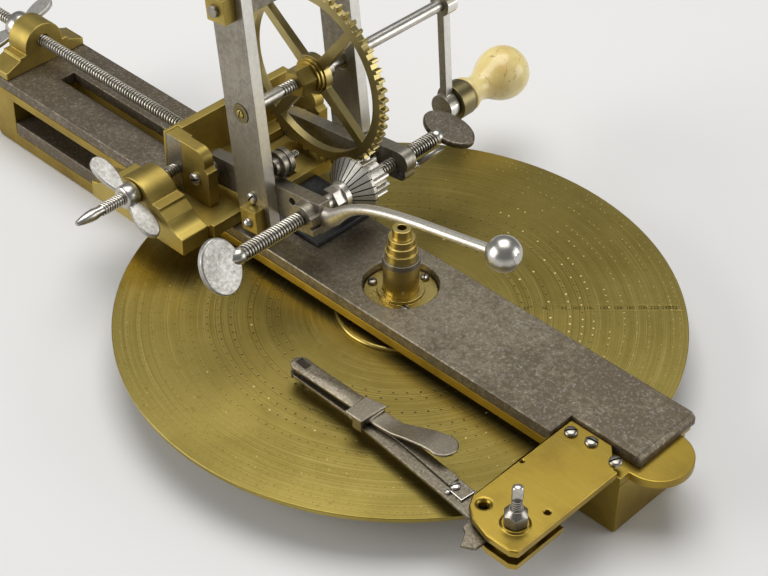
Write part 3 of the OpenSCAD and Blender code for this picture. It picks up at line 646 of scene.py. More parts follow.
@dataclass
class Workbench:
    """Modelling moves shared by the sub-assemblies, each one of Blender's operators."""

    nodes: dict[str, Piece]

    def pick(self, *pieces: Piece) -> None:
        """Selects pieces and nothing else.

        Args:
            pieces: The pieces, the first one active, or none.
        """
        bpy.ops.object.select_all(action="DESELECT")
        for piece in pieces:
            piece.select_set(True)
        if pieces:
            bpy.context.view_layer.objects.active = pieces[0]

    def edit(self, piece: Piece) -> None:
        """Opens a piece in edit mode with all of it selected.

        Args:
            piece: The piece.
        """
        self.pick(piece)
        bpy.ops.object.mode_set(mode="EDIT")
        bpy.ops.mesh.select_all(action="SELECT")

    def leave(self) -> None:
        """Goes back to object mode."""
        bpy.ops.object.mode_set(mode="OBJECT")

    def named(self, name: str) -> Piece:
        """Names the active piece and its mesh.

        Args:
            name: The name.

        Returns:
            The piece.
        """
        piece = bpy.context.active_object
        piece.name = name
        piece.data.name = name
        return piece

    def settle(self, piece: Piece, place: Matrix) -> None:
        """Puts a piece in its place and writes the place into its mesh.

        Args:
            piece: The piece.
            place: Its place, in metres.
        """
        piece.matrix_world = place
        self.pick(piece)
        bpy.ops.object.transform_apply(location=True, rotation=True, scale=True)

    def modify(self, piece: Piece, kind: str, **settings: Any) -> None:
        """Adds a modifier to a piece, sets it and applies it.

        Args:
            piece: The piece.
            kind: Blender's type name of the modifier.
            settings: Its properties.
        """
        modifier = piece.modifiers.new(kind, kind)
        for key, value in settings.items():
            setattr(modifier, key, value)
        self.pick(piece)
        bpy.ops.object.modifier_apply(modifier=modifier.name)

    def smooth(self, piece: Piece, degrees: float = 35.0, even: bool = False) -> None:
        """Shades a piece smooth except over sharp edges.

        Args:
            piece: The piece.
            degrees: Angle from which an edge is sharp.
            even: Whether large faces are kept flat.
        """
        self.pick(piece)
        bpy.ops.object.shade_smooth_by_angle(angle=math.radians(degrees))
        if even:
            self.modify(piece, "WEIGHTED_NORMAL", mode="FACE_AREA", weight=90, keep_sharp=True)

    def clean(self, piece: Piece, gap_mm: float = 0.002, merge: bool = False) -> None:
        """Merges doubles and turns the faces outwards.

        Args:
            piece: The piece.
            gap_mm: Distance under which corners are doubles.
            merge: Whether loose triangles are merged into clean faces too.
        """
        self.edit(piece)
        if merge:
            bpy.ops.mesh.customdata_custom_splitnormals_clear()
        bpy.ops.mesh.remove_doubles(threshold=gap_mm * MM)
        if merge:
            bpy.ops.mesh.dissolve_limited(angle_limit=math.radians(0.6))
        bpy.ops.mesh.normals_make_consistent(inside=False)
        self.leave()

    def copy(self, node: str, name: str) -> Piece:
        """Copies a CAD node and merges its loose triangles into clean faces.

        Args:
            node: Name of the CAD node.
            name: Name of the new piece.

        Returns:
            The copy, riding on nothing yet.
        """
        self.pick(self.nodes[node])
        bpy.ops.object.duplicate(linked=False)
        bpy.ops.object.parent_clear(type="CLEAR_KEEP_TRANSFORM")
        piece = self.named(name)
        for key in list(piece.keys()):
            del piece[key]
        piece.data.materials.clear()
        self.clean(piece, merge=True)
        return piece

    def ease(self, piece: Piece, edge: Edge) -> None:
        """Rounds over the sharp edges of a piece; the rounded strips take the second material.

        Args:
            piece: The piece.
            edge: The rounding.
        """
        width, segments = edge.value
        self.modify(piece, "BEVEL", width=width * MM, segments=segments, limit_method="ANGLE", material=1,
                    angle_limit=math.radians(32.0), use_clamp_overlap=False, miter_outer="MITER_ARC")
        self.smooth(piece, even=True)

    def lathe(self, name: str, outline: Outline, steps: int, lead: float = 0.0, turns: int = 1) -> Piece:
        """Pulls one vertex along a profile and turns that about Z, or winds it up a thread.

        Args:
            name: Name of the new piece.
            outline: Points as radius and height in millimetres.
            steps: Facets of one turn.
            lead: Climb of one turn, in millimetres.
            turns: Number of turns.

        Returns:
            The turned piece, standing on the origin.
        """
        self.pick()
        bpy.ops.mesh.primitive_plane_add(size=MM)
        piece = self.named(name)
        self.edit(piece)
        bpy.ops.mesh.merge(type="CENTER")
        last = (0.0, 0.0)
        for number, point in enumerate(outline):
            move = ((point[0] - last[0]) * MM, 0.0, (point[1] - last[1]) * MM)
            if number == 0:
                bpy.ops.transform.translate(value=move)
            else:
                bpy.ops.mesh.extrude_vertices_move(TRANSFORM_OT_translate={"value": move})
            last = point
        self.leave()
        self.modify(piece, "SCREW", axis="Z", angle=FULL_TURN, screw_offset=lead * MM, iterations=turns,
                    steps=steps, render_steps=steps, use_merge_vertices=True, merge_threshold=0.0005 * MM)
        self.clean(piece)
        return piece

    def thread(self, name: str, radius: float, pitch: float, length: float) -> Piece:
        """Winds a thread up Z from the origin.

        Args:
            name: Name of the new piece.
            radius: Radius over the crests, in millimetres.
            pitch: Distance between crests.
            length: Length of the thread.

        Returns:
            The open winding, with its grooves marked for a second finish that paints shade in them, and a
            core to be joined to it.
        """
        root = radius - THREAD_DEPTH * pitch
        half = (root + radius) / 2.0
        shape = ((root, 0.0), (root, 0.1), (half, 0.25), (radius, 0.4),
                 (radius, 0.62), (half, 0.77), (root, 0.92), (root, 1.0))
        outline = [(across, share * pitch) for across, share in shape]
        piece = self.lathe(name, outline, 28, pitch, max(1, int(length / pitch) - 1))
        for face in piece.data.polygons:
            face.material_index = 1 if face.center.xy.length < half * MM else 0
        return piece

    def loft(self, name: str, rings: Sequence[Matrix], sides: int) -> Piece:
        """Bridges a row of rings into a closed bar.

        Args:
            name: Name of the new piece.
            rings: Place, turn and half sizes of each unit ring, in metres.
            sides: Corners of each ring.

        Returns:
            The bar with both ends filled.
        """
        drawn = []
        for ring in rings:
            self.pick()
            bpy.ops.mesh.primitive_circle_add(vertices=sides, radius=1.0)
            drawn.append(bpy.context.active_object)
            self.settle(drawn[-1], ring)
        piece = self.join(name, *drawn)
        self.edit(piece)
        bpy.ops.mesh.bridge_edge_loops(type="SINGLE")
        bpy.ops.mesh.select_all(action="DESELECT")
        bpy.ops.mesh.select_mode(type="EDGE")
        bpy.ops.mesh.select_non_manifold()
        bpy.ops.mesh.fill_holes(sides=0)
        bpy.ops.mesh.select_mode(type="VERT")
        self.leave()
        self.clean(piece)
        return piece

    def lay(self, piece: Piece, origin: Vector, along: Vector, spin: float = 0.0) -> None:
        """Lays a piece that stands on the origin along a direction.

        Args:
            piece: The piece.
            origin: Where its origin goes, in millimetres.
            along: Direction of its Z axis.
            spin: Turn about its own axis, in degrees.
        """
        turn = UP.rotation_difference(along.normalized()).to_matrix().to_4x4()
        spun = Matrix.Rotation(math.radians(spin), 4, "Z")
        self.settle(piece, Matrix.Translation(origin * MM) @ turn @ spun)

    def join(self, name: str, *pieces: Piece) -> Piece:
        """Joins pieces into one.

        Args:
            name: Name of the joined piece.
            pieces: The pieces.

        Returns:
            The joined piece.
        """
        self.pick(*pieces)
        bpy.ops.object.join()
        return self.named(name)

    def block(self, place: Matrix, size: Trio) -> Piece:
        """Makes a box, mostly as a cutting tool.

        Args:
            place: Place and turn of its middle, in metres.
            size: Its sizes, in millimetres.

        Returns:
            The box.
        """
        self.pick()
        bpy.ops.mesh.primitive_cube_add(size=1.0)
        box = bpy.context.active_object
        self.settle(box, place @ Matrix.Diagonal((*[side * MM for side in size], 1.0)))
        return box

    def carve(self, piece: Piece, tool: Piece) -> None:
        """Cuts a piece with a tool, which leaves its finish on the cut.

        Args:
            piece: The piece.
            tool: The tool, which is used up.
        """
        self.modify(piece, "BOOLEAN", operation="DIFFERENCE", solver="EXACT",
                    material_mode="TRANSFER", object=tool)
        bpy.data.objects.remove(tool)


@dataclass
class SubAssembly(Workbench):
    """Base of the sub-assemblies: eases CAD nodes and fits new pieces on their bodies."""

    plain: Plain = ()

    def build(self) -> None:
        """Eases the nodes that need nothing else."""
        for node, edge, finish in self.plain:
            self.eased(node, edge, finish)

    def dress(self, piece: Piece, *finishes: Finish) -> None:
        """Gives a piece its finishes.

        Args:
            piece: The piece.
            finishes: The finishes, the plain one first.
        """
        if len(piece.data.materials):
            piece.data.materials.clear()
        for finish in finishes:
            piece.data.materials.append(material_of(finish))

    def fit(self, piece: Piece, node: str, slot: Slot = Slot.STEEL, instead: bool = True) -> Piece:
        """Lets a dressed piece ride on the body of a CAD node.

        Args:
            piece: The finished mesh.
            node: The CAD node.
            slot: Slot of the record that gives its finish; not used.
            instead: Whether it stands for that node.

        Returns:
            The piece.
        """
        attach(piece, self.nodes[node]["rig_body"])
        if instead:
            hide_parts(node)
        LOG.info("%s rides with %s: %d faces", piece.name, node, len(piece.data.polygons))
        return piece

    def eased(self, node: str, edge: Edge, finish: Finish) -> Piece:
        """Puts a copy with rounded edges in the place of a CAD node.

        Args:
            node: The CAD node.
            edge: Rounding of its edges, which are worn bright and carry a painted highlight.
            finish: Finish of the piece.

        Returns:
            The piece.
        """
        piece = self.copy(node, node + "_eased")
        self.ease(piece, edge)
        self.dress(piece, finish, WEAR_AND_HIGHLIGHT_BRASS if finish.slot is Slot.BRASS else WEAR_AND_HIGHLIGHT_STEEL)
        return self.fit(piece, node, finish.slot)

    def span(self, node: str, along: Vector) -> tuple[Vector, float, float]:
        """Measures a CAD node that lies along an axis.

        Args:
            node: The CAD node.
            along: Direction of the axis.

        Returns:
            Middle of its lower end, its length and half its height, in millimetres.
        """
        low, high = [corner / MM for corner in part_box(node)]
        length = (high - low).dot(along)
        return (low + high - along * length) / 2.0, length, (high.z - low.z) / 2.0

    def turned(
        self, name: str, outline: Outline, steps: int, sharp: float,
        origin: Vector, along: Vector, finish: Finish,
    ) -> Piece:
        """Turns a dressed piece and lays it in its place.

        Args:
            name: Name of the new piece.
            outline: Points as radius and height in millimetres.
            steps: Facets of one turn.
            sharp: Angle from which an edge is sharp, in degrees.
            origin: Where its zero height goes.
            along: Direction of its axis.
            finish: Its finish.

        Returns:
            The piece.
        """
        piece = self.lathe(name, outline, steps)
        self.smooth(piece, sharp)
        self.lay(piece, origin, along)
        self.dress(piece, finish)
        return piece

    def screw(
        self, name: str, origin: Vector, along: Vector, core: Outline, threads: Sequence[Quad],
        flats: Optional[tuple[Matrix, Trio]] = None,
    ) -> Piece:
        """Makes a dressed screw from a turned core and wound threads.

        Args:
            name: Name of the new piece.
            origin: Where the core's zero height goes, in millimetres.
            along: Direction of the screw.
            core: Profile of the core as radius and height.
            threads: Radius, pitch, first height and last height of each thread.
            flats: Place and size of a box that files a flat, and another one on the other side.

        Returns:
            The screw.
        """
        body = self.lathe(name, core, 32)
        if flats is not None:
            for turn in (0.0, math.pi):
                self.carve(body, self.block(Matrix.Rotation(turn, 4, "Z") @ flats[0], flats[1]))
        self.smooth(body, 40.0)
        self.dress(body, BRIGHT_STEEL)
        wound = []
        for radius, pitch, first, last in threads:
            winding = self.thread(name + "_thread", radius, pitch, last - first)
            # The thread roots take the dark second finish: painted shade
            self.dress(winding, THREAD_STEEL, GROOVE_SHADE)
            self.smooth(winding, 40.0)
            self.lay(winding, UP * first, UP)
            wound.append(winding)
        piece = self.join(name, body, *wound)
        self.lay(piece, origin, along)
        return piece

    def slotted(
        self, radius: float, high: float, origin: Vector, along: Vector, turn: float,
        finish: Finish = SCREW_STEEL, shank: Outline = ((0.0, 0.0),),
    ) -> Piece:
        """Turns a domed screw head and saws its slot.

        Args:
            radius: Radius of the head, in millimetres.
            high: Height of the head.
            origin: Middle of its underside.
            along: Direction the head looks in.
            turn: Turn of the slot, in degrees.
            finish: Finish of the head.
            shank: Profile of the shank from its tip up to the head, with heights below zero.

        Returns:
            The dressed screw.
        """
        rim = [(radius - 0.1, 0.0), (radius, 0.1)]
        dome = [(radius * across, high * share) for across, share in (
            (1.0, 0.5), (0.95, 0.68), (0.8, 0.84), (0.55, 0.95), (0.25, 1.0), (0.0, 1.01))]
        head = self.lathe("slotted_head", [*shank, *rim, *dome], 40)
        self.dress(head, finish)
        place = Matrix.Translation(UP * (high * 1.05 * MM))
        slot = self.block(place, (radius * 3.0, radius * 0.3, high))
        # The slot's cut takes the dark finish: painted shade in the slot
        self.dress(slot, GROOVE_SHADE)
        self.carve(head, slot)
        self.smooth(head, 40.0)
        self.lay(head, origin, along, turn)
        return head

    def oval(self, name: str, shape: Quad, place: Matrix, finish: Finish, taper: float = 0.0) -> Piece:
        """Shapes a dressed oval plate for a thumb or a finger.

        Args:
            name: Name of the new piece.
            shape: Half length, half width, thickness and rounding, in millimetres.
            place: Its place, in metres.
            finish: Its finish; its edges are worn bright and carry a painted highlight.
            taper: How much it widens along its length.

        Returns:
            The plate.
        """
        long, wide, thick, edge = shape
        self.pick()
        bpy.ops.mesh.primitive_cylinder_add(vertices=72, radius=MM, depth=thick * MM)
        piece = self.named(name)
        self.edit(piece)
        bpy.ops.transform.resize(value=(wide, long, 1.0))
        self.leave()
        self.modify(piece, "BEVEL", width=edge * MM, segments=4, limit_method="ANGLE", material=1,
                    angle_limit=math.radians(40.0))
        if taper:
            self.modify(piece, "SIMPLE_DEFORM", deform_method="TAPER", deform_axis="Y", factor=taper)
        self.settle(piece, place)
        self.smooth(piece, even=True)
        self.dress(piece, finish, WEAR_AND_HIGHLIGHT_STEEL)
        return piece

    def recolour(self, piece: Piece, toward: Vector, share: float, number: int = 1) -> None:
        """Gives the faces that look one way another of the piece's finishes.

        Args:
            piece: A piece with two or more finishes.
            toward: The direction.
            share: Cosine of the largest angle from it.
            number: Number of the finish; the second is that of the rounded edges.
        """
        for face in piece.data.polygons:
            if face.normal.dot(toward) > share:
                face.material_index = number


@dataclass
class Bed(SubAssembly):
    """Two-layer bars, end blocks, leadscrew block and the index bracket."""

    plain: Plain = (
        ("lower_frame_brass", Edge.BAR, BAR_BRASS),
        ("lower_bar_steel", Edge.WORN, BAR_STEEL),
        ("front_end_block", Edge.BAR, BAR_BRASS),
        ("upper_bar_brass", Edge.BAR, BAR_BRASS),
        ("upper_bar_steel", Edge.WORN, BAR_STEEL),
        ("bearing_flange", Edge.SMALL, POLISHED_BRASS),
        ("footstep_bearing", Edge.SMALL, TURNED_BRASS),
        ("leadscrew_block", Edge.CAST, BLOCK_BRASS),
        ("index_bracket_top", Edge.WORN, BAR_BRASS),
        ("index_bracket_bottom", Edge.SMALL, BAR_BRASS))
    flange_ring: Pair = (14.8, 36.7)
    flange_turns: Trio = (82.0, 202.0, 322.0)
    flange_head: Pair = (2.4, 2.0)
    bracket_heads: Sequence[Quad] = (
        (123.4, -19.9, 38.5, 50.0), (133.9, -18.4, 38.5, 10.0), (149.2, -20.5, 38.5, 65.0))
    bracket_head: Pair = (3.1, 2.2)
    stud_thread: Pair = (2.5, 1.3)
    stud_foot: Pair = (3.0, 12.0)
    stud_tip: Outline = ((2.0, 7.2), (2.6, 6.4), (2.6, 1.6), (2.2, 0.6), (1.4, 0.0), (0.0, 0.0))
    stud_flat: Trio = (4.0, 9.0, 13.6)
    stud_flat_off: float = 3.4
    stud_turn: float = -46.0

    def build(self) -> None:
        """Eases the bars and blocks, slots the screws and threads the index stud."""
        super().build()
        self.build_frame_screws()
        self.build_index_stud()

    def build_frame_screws(self) -> None:
        """Turns the domed heads of the frame screws and saws their slots."""
        ring, top = self.flange_ring
        heads = []
        for turn in self.flange_turns:
            way = math.radians(turn)
            place = Vector((ring * math.cos(way), ring * math.sin(way), top))
            heads.append(self.slotted(*self.flange_head, place, UP, turn + 40.0))
        for x, y, z, turn in self.bracket_heads:
            heads.append(self.slotted(*self.bracket_head, Vector((x, y, z)), UP, turn))
        self.fit(self.join("frame_screws_slotted", *heads), "frame_screws")

    def build_index_stud(self) -> None:
        """Threads the index stud and files the two flats of its head."""
        origin, length, _ = self.span("index_stud", UP)
        radius, pitch = self.stud_thread
        wide, foot = self.stud_foot
        root = radius - CORE_DEPTH * pitch
        core = [(0.0, 0.0), (wide, 0.0), (wide, foot), (root, foot + 0.2), (root, length - 7.6)]
        core += [(across, length - below) for across, below in self.stud_tip]
        push = Matrix.Translation(Vector((self.stud_flat_off, 0.0, length)) * MM)
        side = Matrix.Rotation(math.radians(self.stud_turn), 4, "Z") @ push
        threads = [(radius, pitch, foot, length - 7.0)]
        piece = self.screw("index_stud_thread", origin, UP, core, threads, (side, self.stud_flat))
        self.fit(piece, "index_stud")


@dataclass
class DividingHead(SubAssembly):
    """Dividing plate, its collar and the work arbor."""

    plain: Plain = (
        ("dividing_plate", Edge.RIM, PLATE_BRASS),
        ("plate_collar", Edge.MILLED, TURNED_BRASS),
        ("work_arbor", Edge.SMALL, POLISHED_BRASS),
        ("arbor_ring", Edge.FINE, SCREW_STEEL))
    digit_mm: float = 3.0
    digit_in: float = 2.6
    plate_top: float = 24.5

    def build(self) -> None:
        """Dresses the plate, numbers its rings and eases the arbor."""
        self.build_numbers()
        super().build()

    def build_numbers(self) -> None:
        """Sets a row of small numbers along one radius, the count of each ring of holes."""
        made = []
        for radius, count, _ in HOLE_RINGS[1:]:
            self.pick()
            bpy.ops.object.text_add()
            text = bpy.context.active_object
            text.data.body = str(count)
            text.data.size = self.digit_mm * MM
            text.data.extrude = 0.02 * MM
            text.data.resolution_u = 3
            text.data.align_x = "CENTER"
            text.data.align_y = "CENTER"
            bpy.ops.object.convert(target="MESH")
            push = Matrix.Translation(Vector((radius - self.digit_in, 0.0, self.plate_top + 0.01)) * MM)
            self.settle(text, Matrix.Rotation(NUMBER_ROW, 4, "Z") @ push)
            made.append(text)
        piece = self.join("ring_numbers", *made)
        self.clean(piece, 0.0005)
        self.dress(piece, ENGRAVING)
        self.fit(piece, "dividing_plate", Slot.BRASS, False)


@dataclass
class Index(SubAssembly):
    """Index arm with its spring, thumb lever and nut."""

    plain: Plain = (
        ("index_nut", Edge.SMALL, SCREW_STEEL),
        ("index_arm", Edge.ARM, DARK_STEEL),
        ("thumb_lever", Edge.CAST, SPOON_STEEL))
    pocket: Trio = (5.2, -70.2, 37.3)
    pocket_size: Trio = (7.2, 4.3, 1.6)
    foot: Trio = (110.6, -77.1, 33.45)
    foot_size: Trio = (7.4, 7.6, 1.4)
    foot_heads: Sequence[tuple[Trio, Trio]] = (
        ((2.3, 1.3, 65.0), (106.6, -77.1, 34.3)),
        ((1.4, 1.5, 0.0), (105.9, -81.0, 32.75)))

    def build(self) -> None:
        """Eases the index pieces and makes the details of the spring."""
        super().build()
        self.build_spring()
        self.build_spring_foot()

    def build_spring(self) -> None:
        """Eases the spring and sinks the square pocket near the tip of its blade."""
        spring = self.eased("index_spring", Edge.FINE, DARK_STEEL)
        # The pocket's walls take the bright finish (worn edges and a painted highlight) and its floor the
        # dark one: painted shade
        tool = self.block(flat(self.pocket, -3.0), self.pocket_size)
        self.dress(tool, WEAR_AND_HIGHLIGHT_STEEL, GROOVE_SHADE)
        self.recolour(tool, -UP, 0.5)
        self.carve(spring, tool)

    def build_spring_foot(self) -> None:
        """Makes the foot plate that holds the spring's root, with its screw and a rivet."""
        plate = self.block(flat(self.foot, -6.0), self.foot_size)
        self.dress(plate, DARK_STEEL, WEAR_AND_HIGHLIGHT_STEEL)
        self.ease(plate, Edge.SMALL)
        heads = []
        for (radius, high, turn), place in self.foot_heads:
            heads.append(self.slotted(radius, high, Vector(place), UP, turn, BRIGHT_STEEL))
        self.fit(self.join("spring_foot", plate, *heads), "index_arm", instead=False)


@dataclass(frozen=True)
class WingNut:
    """A wing nut: foot of its boss, way outwards, turn of its wings and sizes, in millimetres and degrees."""

    node: str
    foot: Trio
    out: Vector
    turn: float
    boss: Trio
    root: float
    reach: float
    lean: float


@dataclass
class Carriage(SubAssembly):
    """Saddle, leadscrew, cross slide and the two wing nuts."""

    plain: Plain = (
        ("saddle", Edge.SLIDE, BLOCK_BRASS),
        ("cross_screw_block", Edge.CAST, BLOCK_BRASS),
        ("saddle_tongue", Edge.FINE, BLUED),
        ("saddle_keeper", Edge.SMALL, BLOCK_BRASS),
        ("cross_plate", Edge.SLIDE, BLOCK_BRASS),
        ("pivot_cocks", Edge.CRISP, BLOCK_BRASS))
    wing_nuts: Sequence[WingNut] = (
        WingNut("leadscrew_wing_nut", (-289.4, 0.0, 55.4), -AHEAD, 76.0, (8.0, 9.0, 3.3), 4.5, 25.0, 8.0),
        WingNut("cross_wing_nut", (-128.5, -57.4, 58.2), -ACROSS, -117.0, (6.3, 7.6, 3.3), 4.2, 26.0, 4.0))
    wing_half: float = 5.1
    wing_thick: float = 2.6
    wing_edge: float = 0.8
    wing_taper: float = 0.55
    pivot_out: float = 41.35
    pivot_head: Trio = (3.4, 2.2, 25.0)
    pivot_shank: Outline = ((0.0, -16.6), (2.0, -16.6), (2.0, -6.3), (2.6, -6.3), (2.6, 0.0))
    lead_pitch: float = 2.0
    lead_first: float = 8.0
    lead_plain: float = 14.0
    cross_pitch: float = 1.5
    cross_first: float = 15.0
    cross_tip: Outline = (
        (0.0, 0.0), (0.9, 0.2), (1.4, 0.9), (2.3, 4.5), (2.9, 8.5), (3.0, 11.0), (2.6, 14.0))

    def build(self) -> None:
        """Eases the slides, shapes the wing nuts and threads the two screws."""
        super().build()
        block = self.eased("cross_nut_block", Edge.MILLED, FRAME_STEEL)
        block.data.materials.append(material_of(BLOCK_BRASS))
        self.recolour(block, UP, 0.8, 2)
        self.build_wing_nuts()
        self.build_pivot_screws()
        self.build_leadscrew()
        self.build_cross_screw()

    def build_wing_nuts(self) -> None:
        """Turns the bosses of the two wing nuts and joins their wings to them."""
        for kind in self.wing_nuts:
            radius, length, hole = kind.boss
            outline = [(hole, 0.0), (radius - 0.5, 0.0), (radius, 0.5), (radius, length - 1.2),
                       (radius - 0.4, length - 0.5), (radius - 1.2, length), (hole, length), (hole, 0.0)]
            name = kind.node + "_boss"
            boss = self.turned(name, outline, 48, 50.0, Vector(kind.foot), kind.out, BRIGHT_STEEL)
            wings = [self.wing(kind, half) for half in (180.0, 0.0)]
            self.fit(self.join(kind.node + "_shaped", *wings, boss), kind.node)

    def wing(self, kind: WingNut, half: float) -> Piece:
        """Shapes one egg-shaped wing.

        Args:
            kind: The wing nut.
            half: Turn from the first wing, in degrees.

        Returns:
            The wing.
        """
        out = kind.out
        lean = math.radians(kind.lean)
        radial = Matrix.Rotation(math.radians(half + kind.turn), 3, out) @ UP
        along = radial * math.cos(lean) + out * math.sin(lean)
        normal = along.cross(out).normalized()
        middle = Vector(kind.foot) + out * kind.root + along * (kind.reach / 2.0 + 1.0)
        place = standing(middle, along.cross(normal), along, normal)
        shape = (kind.reach / 2.0 - 1.0, self.wing_half, self.wing_thick, self.wing_edge)
        return self.oval(kind.node + "_wing", shape, place, THUMB_STEEL, self.wing_taper)

    def build_pivot_screws(self) -> None:
        """Turns the two slotted pivot screws."""
        radius, high, turn = self.pivot_head
        made = []
        for side in (-ACROSS, ACROSS):
            origin = PIVOT + side * self.pivot_out
            made.append(self.slotted(radius, high, origin, side, turn, BRIGHT_STEEL, self.pivot_shank))
        self.fit(self.join("pivot_screws_slotted", *made), "pivot_screws")

    def build_leadscrew(self) -> None:
        """Threads the leadscrew over its open length."""
        origin, length, radius = self.span("leadscrew", AHEAD)
        root = radius - CORE_DEPTH * self.lead_pitch
        first = self.lead_first
        last = length - self.lead_plain
        core = [(0.0, 0.0), (radius - 1.2, 0.0), (radius - 0.4, 1.0), (radius - 0.4, first - 1.0),
                (root, first), (root, last - 1.0), (radius - 0.1, last), (radius - 0.1, length),
                (0.0, length)]
        threads = [(radius, self.lead_pitch, first, last + 1.0)]
        self.fit(self.screw("leadscrew_thread", origin, AHEAD, core, threads), "leadscrew")

    def build_cross_screw(self) -> None:
        """Threads the cross screw and turns its long tapered end."""
        origin, length, radius = self.span("cross_screw", ACROSS)
        root = radius - CORE_DEPTH * self.cross_pitch
        core = [*self.cross_tip, (root, self.cross_first + 0.6), (root, length), (0.0, length)]
        threads = [(radius, self.cross_pitch, self.cross_first, length + 1.0)]
        self.fit(self.screw("cross_screw_thread", origin, ACROSS, core, threads), "cross_screw")


# Pointed end of both centre screws
CENTRE_TIP = ((0.0, 0.0), (1.2, 0.0), (1.5, 0.4), (1.5, 3.8), (2.5, 4.4))


@dataclass(frozen=True)
class ThumbScrew:
    """A screw along Y with an oval thumb head, with places in millimetres and its turn in degrees."""

    node: str
    a: float
    b: float
    tip: float
    along: Vector
    core: Outline
    threads: Sequence[Quad]
    head: float
    shape: Quad
    turn: float
    finish: Finish


@dataclass
class SwingFrame(SubAssembly):
    """Uprights, arms, tie bar, hand lever and the two centre screws."""

    plain: Plain = (
        ("front_arm", Edge.MILLED, FRAME_STEEL),
        ("back_arm", Edge.MILLED, FRAME_STEEL),
        ("top_tie_bar", Edge.SMALL, FRAME_STEEL),
        ("tie_nuts", Edge.NUT, BLOCK_BRASS),
        ("foot_blocks", Edge.MILLED, BLOCK_BRASS),
        # The drive bushes take the dark brass: painted shade in the gap around them
        ("drive_bushes", Edge.FINE, DULL_AND_SHADE_BRASS),
        ("depth_stop", Edge.FINE, SCREW_STEEL),
        ("lock_nut", Edge.SMALL, FRAME_STEEL))
    upright_head: Trio = (3.1, 2.0, 58.0)
    upright_screws: Trio = (36.3, 36.35, 0.2)
    foot_ball: float = 2.8
    foot_screws: Trio = (38.2, 42.35, -10.6)
    lock_thread: Pair = (2.0, 1.0)
    lever_y: float = -26.65
    lever_rows: Sequence[Quad] = (
        (75.5, 0.4, 10.4, 6.2), (78.5, 0.5, 10.2, 6.1), (81.5, 1.2, 9.6, 6.0), (84.5, 2.9, 8.6, 5.9),
        (87.5, 5.2, 7.6, 5.8), (90.5, 7.5, 6.8, 5.8), (93.5, 9.6, 6.2, 5.7), (97.0, 11.7, 5.7, 5.6),
        (101.0, 13.6, 5.3, 5.6), (106.0, 15.5, 5.0, 5.5), (112.0, 17.2, 4.9, 5.5), (120.0, 18.9, 4.8, 5.5),
        (130.0, 20.4, 4.7, 5.4), (142.0, 21.8, 4.6, 5.4), (156.0, 23.0, 4.6, 5.3), (171.0, 24.3, 4.5, 5.2),
        (187.0, 25.8, 4.5, 5.2))
    ball: Trio = (192.4, 0.3, 26.3)
    ball_lean: float = 0.09
    ball_outline: Outline = (
        (0.0, -9.2), (2.7, -9.0), (3.0, -8.2), (3.3, -7.72), (4.6, -7.03), (5.9, -5.98), (7.0, -4.65),
        (7.8, -3.12), (8.25, -1.58), (8.4, 0.0), (8.25, 1.58), (7.8, 3.12), (7.0, 4.65), (5.9, 5.98),
        (4.6, 7.03), (3.2, 7.77), (2.4, 8.0), (2.3, 8.35), (0.0, 8.4))
    thumb_screws: Sequence[ThumbScrew] = (
        ThumbScrew(
            "front_center_screw", 69.0, 0.0, -6.2, -ACROSS,
            (*CENTRE_TIP, (3.2, 5.0), (3.2, 17.5), (3.25, 17.6), (3.25, 54.2), (3.6, 55.0), (4.0, 55.6),
             (4.3, 56.8), (4.2, 58.6), (3.3, 60.6), (1.8, 62.4), (0.0, 63.2)),
            ((4.0, 1.7, 17.5, 56.2),), 68.6, (11.2, 14.2, 3.8, 1.1), -28.7, THUMB_STEEL),
        ThumbScrew(
            "back_center_screw", 69.0, 0.0, 25.6, ACROSS,
            (*CENTRE_TIP, (2.55, 21.5), (3.2, 21.6), (3.2, 43.4), (3.6, 44.4), (4.1, 45.6), (4.1, 47.2),
             (3.2, 49.4), (1.8, 51.4), (0.0, 52.2)),
            ((3.3, 1.7, 4.2, 23.2), (4.0, 1.7, 21.5, 45.6)), 55.9, (9.9, 15.6, 3.8, 1.1), -83.0, BROWN_STEEL),
        ThumbScrew(
            "back_clamp_screw", 74.2, -4.4, 40.3, ACROSS,
            ((0.0, 0.0), (1.4, 0.0), (1.4, 9.8), (1.9, 10.4), (2.1, 12.0), (1.6, 14.0), (0.0, 15.0)),
            ((1.8, 1.0, 0.4, 10.6),), 19.9, (9.0, 9.0, 2.8, 0.9), 39.0, FRAME_STEEL))

    def build(self) -> None:
        """Eases the frame and makes its screws, the lever and the thumb screws."""
        for node in ("front_upright", "back_upright"):
            upright = self.eased(node, Edge.BAR, FRAME_STEEL)
            # The faces towards +X take the bright second finish: painted light on that side
            self.recolour(upright, Vector((math.cos(TILT), 0.0, math.sin(TILT))), 0.9)
        super().build()
        self.build_swing_screws()
        self.build_lock_stud()
        self.build_lever()
        self.build_thumb_screws()

    def build_swing_screws(self) -> None:
        """Turns the slotted screws of the uprights and the ball-headed screws of the feet."""
        row = [math.pi * step / 16.0 for step in range(17)]
        outline = [(self.foot_ball * math.sin(turn), -self.foot_ball * math.cos(turn)) for turn in row]
        radius, high, turn = self.upright_head
        ahead, out, stagger = self.upright_screws
        a, y, b = self.foot_screws
        made = []
        for side in (-1.0, 1.0):
            along = ACROSS * side
            origin = swung(ahead + stagger * side, side * out, 0.0)
            made.append(self.slotted(radius, high, origin, along, -turn * side, BRIGHT_STEEL))
            ball = swung(a, side * y, b)
            made.append(self.turned("foot_ball", outline, 32, 60.0, ball, along, BRIGHT_STEEL))
        self.fit(self.join("swing_screws_turned", *made), "swing_screws")

    def build_lock_stud(self) -> None:
        """Threads the stud of the lock nut."""
        origin, length, _ = self.span("lock_stud", ACROSS)
        radius, pitch = self.lock_thread
        core = [(0.0, 0.0), (1.6, 0.0), (1.6, length - 0.6), (1.1, length), (0.0, length)]
        piece = self.screw("lock_stud_thread", origin, ACROSS, core, [(radius, pitch, 1.0, length)])
        self.fit(piece, "lock_stud")

